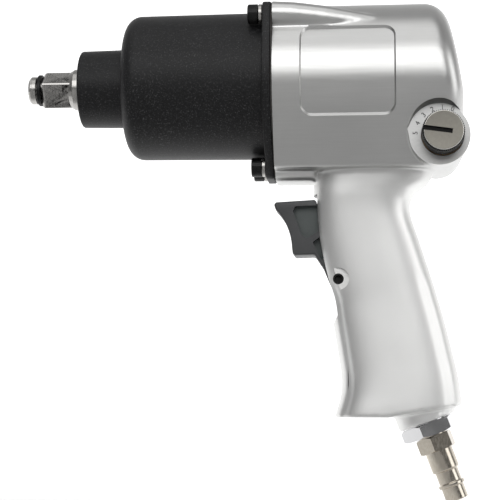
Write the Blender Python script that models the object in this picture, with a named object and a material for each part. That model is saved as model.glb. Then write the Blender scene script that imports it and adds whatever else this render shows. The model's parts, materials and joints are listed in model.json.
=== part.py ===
"""Half-inch square drive air impact wrench, as an assembly of separate pieces.

The tool lies along X with its drive at the origin, pointing to -X. The grip hangs down along -Z.
All sizes below are in millimetres and are turned into metres as each mesh is made.
"""
import math

import bmesh
import bpy
from mathutils import Vector

MM = 0.001

# ---- clearances ----
GAP = 0.3                   # between two pieces that touch
THIN_GAP = 0.2              # on each side of a thin gasket
RUN = 0.3                   # running clearance on a radius

# ---- square drive and anvil ----
DRIVE_FLATS = 12.7          # half-inch square, across flats
DRIVE_CORNERS = 17.3        # across its rounded corners
DRIVE_TURN = 36.0           # degrees that the square is turned about the axis at rest
TIP_RADIUS = 6.4
TIP_LENGTH = 3.4
GROOVE_RADIUS = 4.2
GROOVE_WIDTH = 2.9
SQUARE_LENGTH = 15.1
COLLAR_RADIUS = 9.5
COLLAR_LENGTH = 3.3
ANVIL_SHAFT_RADIUS = 9.2
THRUST_RADIUS = 12.0
THRUST_WIDTH = 3.0          # of the ring that the anvil runs against
ANVIL_CORE_RADIUS = 7.5
JAW_RADIUS = 11.0
JAW_WIDTH = 8.0
RING_WIDTH = 1.7
RING_RADIUS = 7.3
RING_WALL = 1.15
RING_SPLIT = 1.2            # width of the gap in the split ring
BACKING_WIRE = 0.7          # radius of the o-ring's section under the retaining ring

# ---- hammer case ----
NOSE_RADIUS = 18.0
NOSE_LENGTH = 21.7
BUSH_WALL = 3.0
BARREL_FRONT_RADIUS = 33.1
BARREL_REAR_RADIUS = 33.65
BARREL_LENGTH = 64.3
BARREL_EDGE = 7.5           # rounding of the barrel's front edge
FRONT_WALL = 5.3
CASE_WALL = 3.2
FLANGE_RADIUS = 37.6
FLANGE_THICK = 3.6
GASKET_THICK = 0.4

# ---- bolts that hold the case to the housing ----
TOP_BOLT_Y = 27.4
TOP_BOLT_Z = 27.2
LOW_BOLT_Y = 7.0
LOW_BOLT_Z = -38.6
EAR_RADIUS = 5.5
BOLT_RADIUS = 3.0
BOLT_HEAD_RADIUS = 4.5
BOLT_HEAD_HEIGHT = 4.6
BOLT_KEY_RADIUS = 2.7
BOLT_KEY_DEPTH = 2.6
BOLT_GRIP = 21.0            # how far the bolt reaches behind the flange's front face
WASHER_THICK = 1.5
WASHER_SPLIT = 0.8          # width of the gap in a spring washer

# ---- hammer mechanism ----
FRAME_DISC = 4.5            # thickness of the frame's front disc
FRAME_REAR_DISC = 6.5
FRAME_RADIUS = 28.6
FRAME_BAR_WALL = 3.2
FRAME_BAR_SPREAD = 60.0     # degrees that one side bar covers
FRAME_PIN_STOP = 1.5        # wall behind the hammer pins' blind holes
HUB_RADIUS = 11.0
HUB_LENGTH = 6.5
HAMMER_WIDTH = 17.8
HAMMER_RADIUS = 20.0
HAMMER_BORE = 13.0
HAMMER_EAR = 5.1
PIN_CIRCLE = 23.5           # distance of the hammer pins from the axis
HAMMER_PIN_RADIUS = 3.0
LUG_INNER = 9.8
LUG_WIDTH = 7.0

# ---- air motor ----
BODY_RADIUS = 36.2          # outside of the housing
MOTOR_BORE = 29.5           # bore of the housing
PLATE_THICK = 7.8
LINER_LENGTH = 40.6
LINER_BORE = 23.5
LINER_OFFSET = 2.6          # how far the liner's bore lies above the rotor's axis
ROTOR_RADIUS = 20.5
ROTOR_SHAFT = 6.0
ROTOR_HEX = 5.2             # across-corner radius of the rotor's front drive
VANES = 6
VANE_THICK = 2.2
VANE_DEPTH = 8.2
BEARING_RADIUS = 12.9
BEARING_WIDTH = 5.4
DOWEL_RADIUS = 1.5
DOWEL_CIRCLE = 25.9
SEAL_THICK = 0.5
RACE = 2.0                  # wall of a bearing's race
SHIELD_DEPTH = 0.5          # how far a bearing's shields lie inside its races
SHAFT_CLEAR = 1.0           # between the rotor's shaft and the end plates
LINER_PORT_RADIUS = 2.6
LINER_PORT_SPACING = 9.0
LINER_PORT_Y = -11.0

# ---- housing ----
BODY_LENGTH = 82.4          # from the front face to the middle of the rear face
FACE_STOCK = 1.0            # cast metal that is machined away to leave a flat face
REAR_ROUND = 9.0
REAR_SLOPE = 0.165          # how far the rear face leans back for each millimetre down
KNEE_Z = -8.0               # the rear face is upright below this height
SKIRT_Y = 17.5              # middle of the rounded lower edges of the body
SKIRT_ROUND = 3.0
SKIRT_DROP = 1.8            # how far those centres lie below the body's radius
FOOT_LENGTH = 18.0
FOOT_RADIUS = 6.6           # of the two lower bolt bosses
BOSS_FADE = ((10.0, 5.5, 0.985), (24.0, 5.4, 0.93), (52.0, 4.0, 0.8))  # upper bolt bosses: behind
                            # the face, radius, share of the bolt centre's distance

# ---- grip: drop below the body, front and rear from the housing's face, half width ----
GRIP_SECTIONS = (
    (-8.0, 16.8, 73.0, 17.0),
    (3.8, 16.8, 71.5, 17.0),
    (11.3, 16.8, 67.4, 16.6),
    (12.8, 16.8, 64.2, 16.4),
    (15.8, 16.8, 61.6, 16.2),
    (17.8, 16.8, 60.6, 16.0),
    (24.0, 16.9, 60.5, 15.6),
    (36.0, 17.6, 64.3, 15.2),
    (54.0, 21.2, 70.0, 15.0),
    (63.0, 23.9, 72.6, 15.0),
    (72.0, 25.2, 75.1, 15.2),
    (90.0, 28.0, 79.4, 15.8),
    (98.0, 29.0, 81.1, 16.2),
    (105.0, 28.7, 82.0, 16.6),
    (112.0, 26.8, 82.6, 17.0),
    (120.0, 24.2, 83.0, 17.2),
)
GRIP_SQUARENESS = 2.7       # superellipse power of the grip's section
GRIP_DROP = 115.3           # grip's flat base, below the body
GRIP_FLAT = 50.0            # length of the level part of the base, from the housing's face
GRIP_HEEL_RISE = 5.4        # rise of the sloping rear part of the base
GRIP_HEEL_END = 82.2

# ---- trigger ----
PIN_X = 28.0                # roll pin behind the housing's face
PIN_DROP = 53.8             # and below the body
ROLL_PIN_RADIUS = 2.4
ROLL_PIN_WALL = 0.6
ROLL_PIN_HALF = 14.2        # half its length
ROLL_PIN_SLIT = 0.8
TRIGGER_HALF = 8.5          # half the trigger's width
TRIGGER_WEB = 3.0           # half the web's width between its two side pockets
SLOT_DROP = 15.2            # top of the trigger's slot, below the body
SLOT_GAP = 0.45             # on each side of the trigger
SLOT_DEPTH = 29.1           # rear wall of the trigger's slot, from the housing's face
SLOT_LOW_DEPTH = 33.6
SLOT_STEP_RISE = 6.0        # the slot deepens just above the roll pin
SLOT_FLOOR_DROP = 5.2       # and ends below it
TRIGGER_BOSS = 4.4
ROD_RISE = 10.5             # throttle rod above the roll pin
ROD_RADIUS = 2.2

# ---- air inlet ----
INLET_X = 67.2
INLET_DROP = 117.2
INLET_TILT = 20.6           # degrees from straight down, towards the rear
INLET_BOSS_RADIUS = 13.2
INLET_THREAD = 9.2
INLET_DEPTH = 16.0
BUSHING_FLATS = 23.0
BUSHING_HEX_HEIGHT = 5.8
PLUG_FLATS = 15.0
PLUG_BORE = 3.6
PLUG_THREAD = 6.3
PLUG_HEX_START = 6.6
PLUG_HEX_END = 13.5
PLUG_BODY_RADIUS = 6.2
PLUG_BODY_END = 22.6
PLUG_NECK_RADIUS = 5.2
PLUG_NECK_END = 28.4
PLUG_COLLAR_RADIUS = 6.0
PLUG_COLLAR_END = 30.0
PLUG_TIP_RADIUS = 5.1
PLUG_END = 36.6
ORING_WIRE = 0.8
ORING_CLEAR = 0.1           # around the bushing
ORING_SEAT_DEPTH = 2.2

# ---- throttle valve in the grip ----
CHAMBER_RADIUS = 7.5
CHAMBER_END = 50.5          # from the inlet boss's face, up the inlet's axis
SEAT_WIDTH = 4.2
SEAT_BORE = 4.4
STEM_PASSAGE = 4.6
STEM_PASSAGE_END = 84.0
STEM_RADIUS = 1.7
STEM_END = 81.5
VALVE_DISC_RADIUS = 6.6
VALVE_DISC_WIDTH = 3.0
SPRING_WIRE = 0.5
SPRING_TURNS = 6
SPRING_LOW_RADIUS = 6.2
SPRING_HIGH_RADIUS = 4.4
SCREEN_THICK = 1.0
SCREEN_HOLE = 1.4
SCREEN_HOLES = 6
SCREEN_CIRCLE = 4.34        # radius that the outer holes lie on

# ---- regulator and reverse valve ----
VALVE_X = 74.4              # behind the housing's face
VALVE_Z = -28.2
VALVE_BOSS_RADIUS = 13.4
VALVE_BOSS_DRAFT = 0.87     # size of the boss's far end beside its near end
VALVE_BOSS_SHIFT_X = -1.3   # the boss lies a little forward of the valve's axis
VALVE_BOSS_CORNER_X = -15.1  # its front corner, from the valve's axis
VALVE_BOSS_CORNER_Z = 1.8
VALVE_FACE_Y = 28.0         # half width over the two flat faces
SCOOP_MARGIN = 0.5          # the scoop over the boss's face is wider than the boss by this
SCOOP_FLARE = 1.14          # and opens outward to this many times its width
SCOOP_OVERSHOOT = 0.8       # and it opens past the side of the body
VALVE_BUSH_RADIUS = 9.2
VALVE_BUSH_WALL = 1.8
KNOB_HEIGHT = 11.7
KNOB_RADIUS = 9.2
KNOB_FACE_RADIUS = 8.5
KNOB_FLUTES = 30
KNOB_CHAMFER = 1.6
KNOB_SLOT = 2.0             # width of the pointer slot
KNOB_SLOT_DEPTH = 1.3
KNOB_SLOT_TILT = -9.0       # degrees
KNOB_SLOT_REACH = 0.42      # how far past the middle the slot runs, as a share of the radius
KNOB_STUB = 4.0
END_CAP_THICK = 2.0
RETAINER_WIDTH = 1.4
RETAINER_WALL = 3.0
SPOOL_END = 14.0            # inner edge of the spool's outer lands
SPOOL_LAND = 4.0            # half width of its middle land
SPOOL_GROOVE = 2.2
BUSH_PORT_RADIUS = 3.4
MOTOR_WAY_RADIUS = 3.0
MOTOR_WAY_Y = 9.0
MOTOR_WAY_Z = -22.5         # at the motor's bore
MOTOR_WAY_LOW_Z = -25.5     # at the valve
DETENT_OFFSET = 6.6         # of the detent ball from the knob's axis
DETENT_BALL_RADIUS = 1.2
DETENT_HOLE_RADIUS = 1.5
DETENT_HOLE_DEPTH = 8.4
DETENT_SPRING_RADIUS = 0.95
DETENT_SPRING_WIRE = 0.22
DETENT_SPRING_TURNS = 4

# ---- air way from the throttle to the regulator ----
AIR_WAY_X = 50.6            # where the way bends, behind the housing's face
AIR_WAY_DROP = 22.0         # and below the body
AIR_WAY_RADIUS = 4.2
AIR_WAY_HIGH_RADIUS = 4.0
AIR_WAY_STEP = 10.0         # how far past the valve's seat the way branches off

# ---- exhaust ----
EXHAUST_X = 38.6
EXHAUST_Y = 9.4
EXHAUST_RADIUS = 3.0
MUFFLER_FRONT = 32.0
MUFFLER_REAR = 42.8
MUFFLER_HALF = 10.0
MUFFLER_HEIGHT = 30.0
MUFFLER_SPACE = 5.0         # free height above the muffler
DEFLECTOR_THICK = 1.6
DEFLECTOR_INSET = 0.4       # how far the plate lies inside the grip's base
DEFLECTOR_SLOTS = 5
DEFLECTOR_PITCH = 3.6
DEFLECTOR_SLOT = 1.8        # width of one slot
DEFLECTOR_RIM = 1.6

# ---- stations along the axis, worked out from the sizes above ----
GROOVE_X = TIP_LENGTH
SQUARE_X = GROOVE_X + GROOVE_WIDTH
COLLAR_X = SQUARE_X + SQUARE_LENGTH
NOSE_X = COLLAR_X + COLLAR_LENGTH + GAP
BARREL_X = NOSE_X + NOSE_LENGTH
CAVITY_X = BARREL_X + FRONT_WALL
FLANGE_X = BARREL_X + BARREL_LENGTH
FLANGE_END = FLANGE_X + FLANGE_THICK
GASKET_X = FLANGE_END + THIN_GAP
HOUSING_X = GASKET_X + GASKET_THICK + THIN_GAP
FRONT_PLATE_X = HOUSING_X + THIN_GAP
LINER_X = FRONT_PLATE_X + PLATE_THICK + GAP
REAR_PLATE_X = LINER_X + LINER_LENGTH + GAP
SEAL_X = REAR_PLATE_X + PLATE_THICK + GAP
BORE_END = SEAL_X + SEAL_THICK + GAP
CASE_BORE = BARREL_FRONT_RADIUS - CASE_WALL
THRUST_X = CAVITY_X + GAP
FRAME_X = THRUST_X + THRUST_WIDTH + 2 * GAP
HAMMER_X = FRAME_X + FRAME_DISC + 2 * GAP
HAMMER_2_X = HAMMER_X + HAMMER_WIDTH + 2 * GAP
FRAME_REAR_X = HAMMER_2_X + HAMMER_WIDTH + 2 * GAP
FRAME_END = FRAME_REAR_X + FRAME_REAR_DISC
HUB_END = FRAME_END + HUB_LENGTH
LINER_RADIUS = MOTOR_BORE - GAP
GRIP_TOP = -BODY_RADIUS
TRIGGER_PIVOT = Vector((HOUSING_X + PIN_X, 0, GRIP_TOP - PIN_DROP))
INLET_FACE = Vector((HOUSING_X + INLET_X, 0, GRIP_TOP - INLET_DROP))
INLET_UP = Vector((-math.sin(math.radians(INLET_TILT)), 0, math.cos(math.radians(INLET_TILT))))
VALVE_AXIS = Vector((HOUSING_X + VALVE_X, 0, VALVE_Z))
ORING_RADIUS = INLET_THREAD + ORING_CLEAR + ORING_WIRE
BUSH_BORE = VALVE_BUSH_RADIUS - VALVE_BUSH_WALL
SCOOP_END = BODY_RADIUS + SCOOP_OVERSHOOT
DETENT_AXIS = VALVE_AXIS - Vector((DETENT_OFFSET, 0, 0))
BOLTS = (
    (-TOP_BOLT_Y, TOP_BOLT_Z), (TOP_BOLT_Y, TOP_BOLT_Z),
    (-LOW_BOLT_Y, LOW_BOLT_Z), (LOW_BOLT_Y, LOW_BOLT_Z),
)
AXIS_X = Vector((1, 0, 0))
AXIS_Y = Vector((0, 1, 0))
AXIS_Z = Vector((0, 0, 1))
ROUND = 24                  # sides of a middling round piece
FINE = 40                   # sides of a large one
SMALL = 12                  # sides of a small one
FLATNESS = math.radians(0.02)  # a face more warped than this is split into flat ones


# ---- tools ----
def clear_scene():
    for thing in list(bpy.data.objects):
        bpy.data.objects.remove(thing, do_unlink=True)


def finish_material(name, colour, roughness, metallic):
    """A plain Principled material."""
    material = bpy.data.materials.new(name)
    material.use_nodes = True
    shader = material.node_tree.nodes["Principled BSDF"]
    shader.inputs["Base Color"].default_value = (*colour, 1.0)
    shader.inputs["Roughness"].default_value = roughness
    shader.inputs["Metallic"].default_value = metallic
    return material


def mesh_object(name, points, faces, origin, material):
    """One closed mesh object from points and faces, with its origin where it turns or seats."""
    mesh = bpy.data.meshes.new(name)
    shape = bmesh.new()
    corners = [shape.verts.new((Vector(point) - Vector(origin)) * MM) for point in points]
    for face in faces:
        shape.faces.new([corners[index] for index in face])
    bmesh.ops.connect_verts_nonplanar(shape, angle_limit=FLATNESS, faces=shape.faces)
    bmesh.ops.recalc_face_normals(shape, faces=shape.faces)
    shape.to_mesh(mesh)
    shape.free()
    thing = bpy.data.objects.new(name, mesh)
    thing.location = Vector(origin) * MM
    bpy.context.collection.objects.link(thing)
    if material is not None:
        mesh.materials.append(material)
    mesh.shade_smooth()
    mesh.set_sharp_from_angle(angle=math.radians(35))
    return thing


def axis_frame(axis):
    """Two directions square to an axis; about X they are Y and Z."""
    helper = AXIS_Z if abs(axis.y) > 0.9 else AXIS_Y
    across = (helper - axis * helper.dot(axis)).normalized()
    return across, axis.cross(across)


def turned(name, profile, origin, axis, material=None, sides=ROUND, start=0.0):
    """A turned piece. The profile is (distance along the axis, radius); one that starts and ends
    on the axis is solid, and any other is closed on itself, which leaves a bore."""
    across, other = axis_frame(axis)
    points = []
    rings = []
    for along, radius in profile:
        if radius == 0:
            continue
        centre = Vector(origin) + axis * along
        rings.append(list(range(len(points), len(points) + sides)))
        for step in range(sides):
            angle = math.radians(start) + 2 * math.pi * step / sides
            points.append(centre + radius * (across * math.cos(angle) + other * math.sin(angle)))
    solid = profile[0][1] == 0
    faces = [tuple(rings[0]), tuple(rings[-1])] if solid else []
    pairs = list(zip(rings, rings[1:])) if solid else list(zip(rings, rings[1:] + rings[:1]))
    for first, second in pairs:
        for step in range(sides):
            following = (step + 1) % sides
            faces.append((first[step], second[step], second[following], first[following]))
    return mesh_object(name, points, faces, origin, material)


def rod(name, radius, begin, end, origin, axis, material=None, sides=ROUND, start=0.0):
    """A plain round or many-sided bar."""
    profile = [(begin, 0), (begin, radius), (end, radius), (end, 0)]
    return turned(name, profile, origin, axis, material, sides, start)


def tube(name, outer, inner, begin, end, origin, axis, material=None, sides=ROUND):
    """A plain ring or sleeve."""
    profile = [(begin, inner), (begin, outer), (end, outer), (end, inner)]
    return turned(name, profile, origin, axis, material, sides)


def loft(name, sections, origin, material=None, domed=False):
    """A skin over sections with equal numbers of points, closed at both ends. A domed end meets
    in a middle point."""
    count = len(sections[0])
    points = [point for section in sections for point in section]
    faces = []
    for level in range(len(sections) - 1):
        for step in range(count):
            following = (step + 1) % count
            low = level * count
            high = low + count
            faces.append((low + step, low + following, high + following, high + step))
    faces.append(tuple(range(count)))
    last = (len(sections) - 1) * count
    if domed:
        middle = sum((Vector(point) for point in sections[-1]), Vector()) / count
        points.append(middle)
        for step in range(count):
            faces.append((last + step, last + (step + 1) % count, len(points) - 1))
    else:
        faces.append(tuple(range(last, last + count)))
    return mesh_object(name, points, faces, origin, material)


def plate(name, outline, begin, end, origin, axis, material=None):
    """A flat piece: an outline pushed along X or along Y. The outline is (y, z) or (x, z)."""
    if axis is AXIS_X:
        sections = [[(along, y, z) for y, z in outline] for along in (begin, end)]
    else:
        sections = [[(x, along, z) for x, z in outline] for along in (begin, end)]
    return loft(name, sections, origin, material)


def circle(centre, radius, count=SMALL, start=0.0):
    """Points of a circle in a plane."""
    steps = [math.radians(start) + 2 * math.pi * step / count for step in range(count)]
    return [(centre[0] + radius * math.cos(a), centre[1] + radius * math.sin(a)) for a in steps]


def arc(centre, radius, first, last, count):
    """Points of an arc in a plane, angles in degrees."""
    steps = [math.radians(first + (last - first) * step / (count - 1)) for step in range(count)]
    return [(centre[0] + radius * math.cos(a), centre[1] + radius * math.sin(a)) for a in steps]


def band_around(points):
    """The outline of a band stretched around points in a plane."""
    ordered = sorted(set(points))

    def half(sequence):
        chain = []
        for point in sequence:
            while len(chain) > 1:
                (ax, ay), (bx, by) = chain[-2], chain[-1]
                if (bx - ax) * (point[1] - ay) - (by - ay) * (point[0] - ax) > 1e-6:
                    break
                chain.pop()
            chain.append(point)
        return chain[:-1]

    return half(ordered) + half(ordered[::-1])


def combine(target, tool, operation):
    """Joins a tool to a piece, or cuts it away, and leaves the tool out of the model."""
    modifier = target.modifiers.new(operation.lower(), "BOOLEAN")
    modifier.operation = operation
    modifier.object = tool
    tool.hide_render = True
    tool.display_type = "WIRE"


def join(target, *tools):
    for tool in tools:
        combine(target, tool, "UNION")


def cut(target, *tools):
    for tool in tools:
        combine(target, tool, "DIFFERENCE")


def coil(name, radius_low, radius_high, begin, end, turns, wire, origin, axis, material):
    """A helical spring, closed at its ends."""
    across, other = axis_frame(axis)
    steps = turns * SMALL
    sides = 5
    sections = []
    for step in range(steps + 1):
        share = step / steps
        angle = 2 * math.pi * turns * share
        radius = radius_low + (radius_high - radius_low) * share
        outward = across * math.cos(angle) + other * math.sin(angle)
        centre = Vector(origin) + axis * (begin + (end - begin) * share) + outward * radius
        section = []
        for side in range(sides):
            turn = 2 * math.pi * side / sides
            section.append(centre + wire * (outward * math.cos(turn) + axis * math.sin(turn)))
        sections.append(section)
    return loft(name, sections, origin, material)


def o_ring(name, radius, wire, along, origin, axis, material, sides=ROUND):
    """A rubber ring of round section."""
    profile = [(along + z, r) for r, z in circle((radius, 0), wire, 6)]
    return turned(name, profile, origin, axis, material, sides)


# ---- anvil and its retaining ring ----
def square_outline():
    """The drive's square with its corners rounded to the across-corner diameter."""
    half = DRIVE_FLATS / 2
    corner = DRIVE_CORNERS / 2
    reach = math.degrees(math.acos(half / corner))
    points = []
    for side in range(4):
        points += arc((0, 0), corner, 90 * side + reach, 90 * (side + 1) - reach, 4)
    turn = math.radians(DRIVE_TURN)
    return [(y * math.cos(turn) - z * math.sin(turn), y * math.sin(turn) + z * math.cos(turn))
            for y, z in points]


def make_anvil(steel):
    """Square drive, collar, shaft and the two jaws that the hammers strike."""
    corner = DRIVE_CORNERS / 2
    profile = [
        (0, 0), (0, TIP_RADIUS - 1.0), (1.0, TIP_RADIUS), (GROOVE_X, TIP_RADIUS),
        (GROOVE_X, GROOVE_RADIUS), (SQUARE_X + 1, GROOVE_RADIUS),
        (COLLAR_X - 2.0, GROOVE_RADIUS), (COLLAR_X - 1.8, corner - 0.2), (COLLAR_X, COLLAR_RADIUS),
        (NOSE_X - GAP, COLLAR_RADIUS), (NOSE_X - GAP, ANVIL_SHAFT_RADIUS),
        (THRUST_X, ANVIL_SHAFT_RADIUS), (THRUST_X, THRUST_RADIUS),
        (THRUST_X + THRUST_WIDTH, THRUST_RADIUS), (THRUST_X + THRUST_WIDTH, ANVIL_CORE_RADIUS),
        (FRAME_REAR_X + FRAME_REAR_DISC / 2, ANVIL_CORE_RADIUS),
        (FRAME_REAR_X + FRAME_REAR_DISC / 2, 0),
    ]
    anvil = turned("anvil", profile, (0, 0, 0), AXIS_X, steel, ROUND)
    outline = square_outline()
    chamfered = [(y * 0.9, z * 0.9) for y, z in outline]
    sections = [[(SQUARE_X, y, z) for y, z in chamfered],
                [(SQUARE_X + 0.9, y, z) for y, z in outline],
                [(COLLAR_X - 0.5, y, z) for y, z in outline]]
    join(anvil, loft("anvil_square", sections, (0, 0, 0)))
    for label, start, side in (("front", HAMMER_X, 1), ("rear", HAMMER_2_X, -1)):
        half = JAW_WIDTH / 2
        reach = math.sqrt(JAW_RADIUS ** 2 - half ** 2)
        outline = [(0, -half), (side * reach, -half), (side * JAW_RADIUS, 0),
                   (side * reach, half), (0, half)]
        join(anvil, plate("anvil_jaw_" + label, outline, start + 1, start + HAMMER_WIDTH - 1,
                          (0, 0, 0), AXIS_X))


def make_socket_ring(steel, rubber):
    """The split ring that holds a socket, and the o-ring that presses it out."""
    centre = (SQUARE_X + GROOVE_X) / 2 + 0.2
    ring = tube("socket_ring", RING_RADIUS, RING_RADIUS - RING_WALL, centre - RING_WIDTH / 2,
                centre + RING_WIDTH / 2, (0, 0, 0), AXIS_X, steel, ROUND)
    half = RING_SPLIT / 2
    outline = [(-half, -RING_RADIUS - 1), (half, -RING_RADIUS - 1), (half, -GROOVE_RADIUS),
               (-half, -GROOVE_RADIUS)]
    cut(ring, plate("socket_ring_split", outline, centre - RING_WIDTH, centre + RING_WIDTH,
                    (0, 0, 0), AXIS_X))
    radius = GROOVE_RADIUS + BACKING_WIRE + GAP
    o_ring("socket_ring_oring", radius, BACKING_WIRE, centre, (0, 0, 0), AXIS_X, rubber)


# ---- hammer case, its bushing and gasket ----
def flange_outline(grow=0.0):
    """The case's flange: a round plate with four bolt ears."""
    points = circle((0, 0), FLANGE_RADIUS + grow, FINE)
    for centre in BOLTS:
        points += circle(centre, EAR_RADIUS + grow, SMALL)
    return band_around(points)


def bolt_holes(name, radius, begin, end):
    """Four cutters on the bolt centres."""
    return [rod(f"{name}_{number}", radius, begin, end, (0, *centre), AXIS_X, None, SMALL)
            for number, centre in enumerate(BOLTS, 1)]


def make_hammer_case(black):
    """The black front casing: nose, barrel and flange in one casting."""
    edge = BARREL_FRONT_RADIUS - BARREL_EDGE
    rounded = arc((BARREL_X + BARREL_EDGE, edge), BARREL_EDGE, 180, 90, 6)
    profile = [
        (NOSE_X, 0), (NOSE_X, NOSE_RADIUS - 0.9), (NOSE_X + 0.6, NOSE_RADIUS - 0.3),
        (BARREL_X - 1.5, NOSE_RADIUS), (BARREL_X, NOSE_RADIUS + 1.5),
        *rounded,
        (FLANGE_X + FLANGE_THICK / 2, BARREL_REAR_RADIUS), (FLANGE_X + FLANGE_THICK / 2, 0),
    ]
    case = turned("hammer_case", profile, (0, 0, 0), AXIS_X, black, FINE)
    join(case, plate("case_flange", flange_outline(), FLANGE_X, FLANGE_END, (0, 0, 0), AXIS_X))
    bore = ANVIL_SHAFT_RADIUS + RUN + BUSH_WALL + GAP
    hollow = [(NOSE_X - 1, 0), (NOSE_X - 1, bore), (CAVITY_X, bore), (CAVITY_X, CASE_BORE - 1),
              (CAVITY_X + 1, CASE_BORE), (FLANGE_END + 1, CASE_BORE), (FLANGE_END + 1, 0)]
    cut(case, turned("case_hollow", hollow, (0, 0, 0), AXIS_X, None, FINE))
    cut(case, *bolt_holes("case_bolt_hole", BOLT_RADIUS + GAP, FLANGE_X - 1, FLANGE_END + 1))


def make_nose_bushing(bronze):
    inner = ANVIL_SHAFT_RADIUS + RUN
    tube("nose_bushing", inner + BUSH_WALL, inner, NOSE_X + 0.8, CAVITY_X - THIN_GAP,
         (0, 0, 0), AXIS_X, bronze, ROUND)


def make_case_gasket(paper):
    gasket = plate("case_gasket", flange_outline(-GAP), GASKET_X, GASKET_X + GASKET_THICK,
                   (0, 0, 0), AXIS_X, paper)
    cut(gasket, rod("gasket_window", CASE_BORE, GASKET_X - 1, GASKET_X + GASKET_THICK + 1,
                    (0, 0, 0), AXIS_X, None, FINE))
    cut(gasket, *bolt_holes("gasket_bolt_hole", BOLT_RADIUS + GAP, GASKET_X - 1, HOUSING_X + 1))


def make_bolts(black, steel):
    """Four socket-head bolts, each on a spring washer."""
    seat = FLANGE_X - GAP - WASHER_THICK - GAP
    for number, (y, z) in enumerate(BOLTS, 1):
        profile = [
            (seat - BOLT_HEAD_HEIGHT, 0), (seat - BOLT_HEAD_HEIGHT, BOLT_HEAD_RADIUS - 0.5),
            (seat - BOLT_HEAD_HEIGHT + 0.5, BOLT_HEAD_RADIUS), (seat, BOLT_HEAD_RADIUS),
            (seat, BOLT_RADIUS), (FLANGE_X + BOLT_GRIP, BOLT_RADIUS), (FLANGE_X + BOLT_GRIP, 0),
        ]
        bolt = turned(f"case_bolt_{number}", profile, (0, y, z), AXIS_X, black, SMALL)
        cut(bolt, rod(f"bolt_key_{number}", BOLT_KEY_RADIUS, seat - BOLT_HEAD_HEIGHT - 1,
                      seat - BOLT_HEAD_HEIGHT + BOLT_KEY_DEPTH, (0, y, z), AXIS_X, None, 6))
        washer = tube(f"lock_washer_{number}", BOLT_HEAD_RADIUS - 0.1, BOLT_RADIUS + GAP,
                      seat + GAP, seat + GAP + WASHER_THICK, (0, y, z), AXIS_X, steel, SMALL)
        half = WASHER_SPLIT / 2
        top = z + 2 * BOLT_HEAD_RADIUS
        outline = [(y - half, z), (y + half, z), (y + half, top), (y - half, top)]
        cut(washer, plate(f"washer_split_{number}", outline, seat, FLANGE_X, (0, 0, 0), AXIS_X))


# ---- hammer mechanism ----
def make_hammer_frame(steel):
    """The cage that the rotor turns: two discs, two side bars and a hub with a hexagon socket."""
    bore = ANVIL_CORE_RADIUS + RUN
    socket = ROTOR_HEX + 2 * GAP
    inner = FRAME_RADIUS - FRAME_BAR_WALL
    middle = FRAME_REAR_X + FRAME_REAR_DISC / 2 + GAP
    profile = [
        (FRAME_X, bore), (FRAME_X, FRAME_RADIUS), (FRAME_END, FRAME_RADIUS),
        (FRAME_END, HUB_RADIUS), (HUB_END, HUB_RADIUS), (HUB_END, socket), (middle, socket),
        (middle, bore), (FRAME_REAR_X, bore), (FRAME_REAR_X, inner),
        (FRAME_X + FRAME_DISC, inner), (FRAME_X + FRAME_DISC, bore),
    ]
    frame = turned("hammer_frame", profile, (0, 0, 0), AXIS_X, steel, FINE)
    half = FRAME_RADIUS * math.cos(math.radians(FRAME_BAR_SPREAD / 2))
    low = FRAME_RADIUS * math.sin(math.radians(FRAME_BAR_SPREAD / 2))
    for label, side in (("top", 1), ("low", -1)):
        outline = [(-half, side * low), (half, side * low),
                   (half, side * (FRAME_RADIUS + 1)), (-half, side * (FRAME_RADIUS + 1))]
        cut(frame, plate("frame_window_" + label, outline, FRAME_X + FRAME_DISC + GAP,
                         FRAME_REAR_X - GAP, (0, 0, 0), AXIS_X))
        cut(frame, rod("frame_pin_hole_" + label, HAMMER_PIN_RADIUS + GAP, FRAME_X - 1,
                       FRAME_END - FRAME_PIN_STOP, (0, 0, side * PIN_CIRCLE), AXIS_X, None, SMALL,
                       5))
    return frame


def make_hammers(steel):
    """Two swinging hammers and the pins that they rock on."""
    places = (("hammer_front", HAMMER_X, 1), ("hammer_rear", HAMMER_2_X, -1))
    for name, start, side in places:
        pivot = (0, 0, side * PIN_CIRCLE)
        end = start + HAMMER_WIDTH
        hammer = tube(name, HAMMER_RADIUS, HAMMER_BORE, start, end, pivot, AXIS_X, steel, FINE)
        for vertex in hammer.data.vertices:
            vertex.co.z -= side * PIN_CIRCLE * MM
        join(hammer, rod(name + "_ear", HAMMER_EAR, start, end, pivot, AXIS_X, None, SMALL))
        half = LUG_WIDTH / 2
        outline = [(-side * LUG_INNER, -half), (-side * (HAMMER_BORE + 2), -half),
                   (-side * (HAMMER_BORE + 2), half), (-side * LUG_INNER, half)]
        join(hammer, plate(name + "_lug", outline, start, end, (0, 0, 0), AXIS_X))
        cut(hammer, rod(name + "_hole", HAMMER_PIN_RADIUS + RUN, start - 1, end + 1, pivot,
                        AXIS_X, None, SMALL))
    for name, side in (("hammer_pin_top", 1), ("hammer_pin_low", -1)):
        rod(name, HAMMER_PIN_RADIUS, FRAME_X + GAP, FRAME_END - FRAME_PIN_STOP - GAP,
            (0, 0, side * PIN_CIRCLE), AXIS_X, steel, SMALL)


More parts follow.
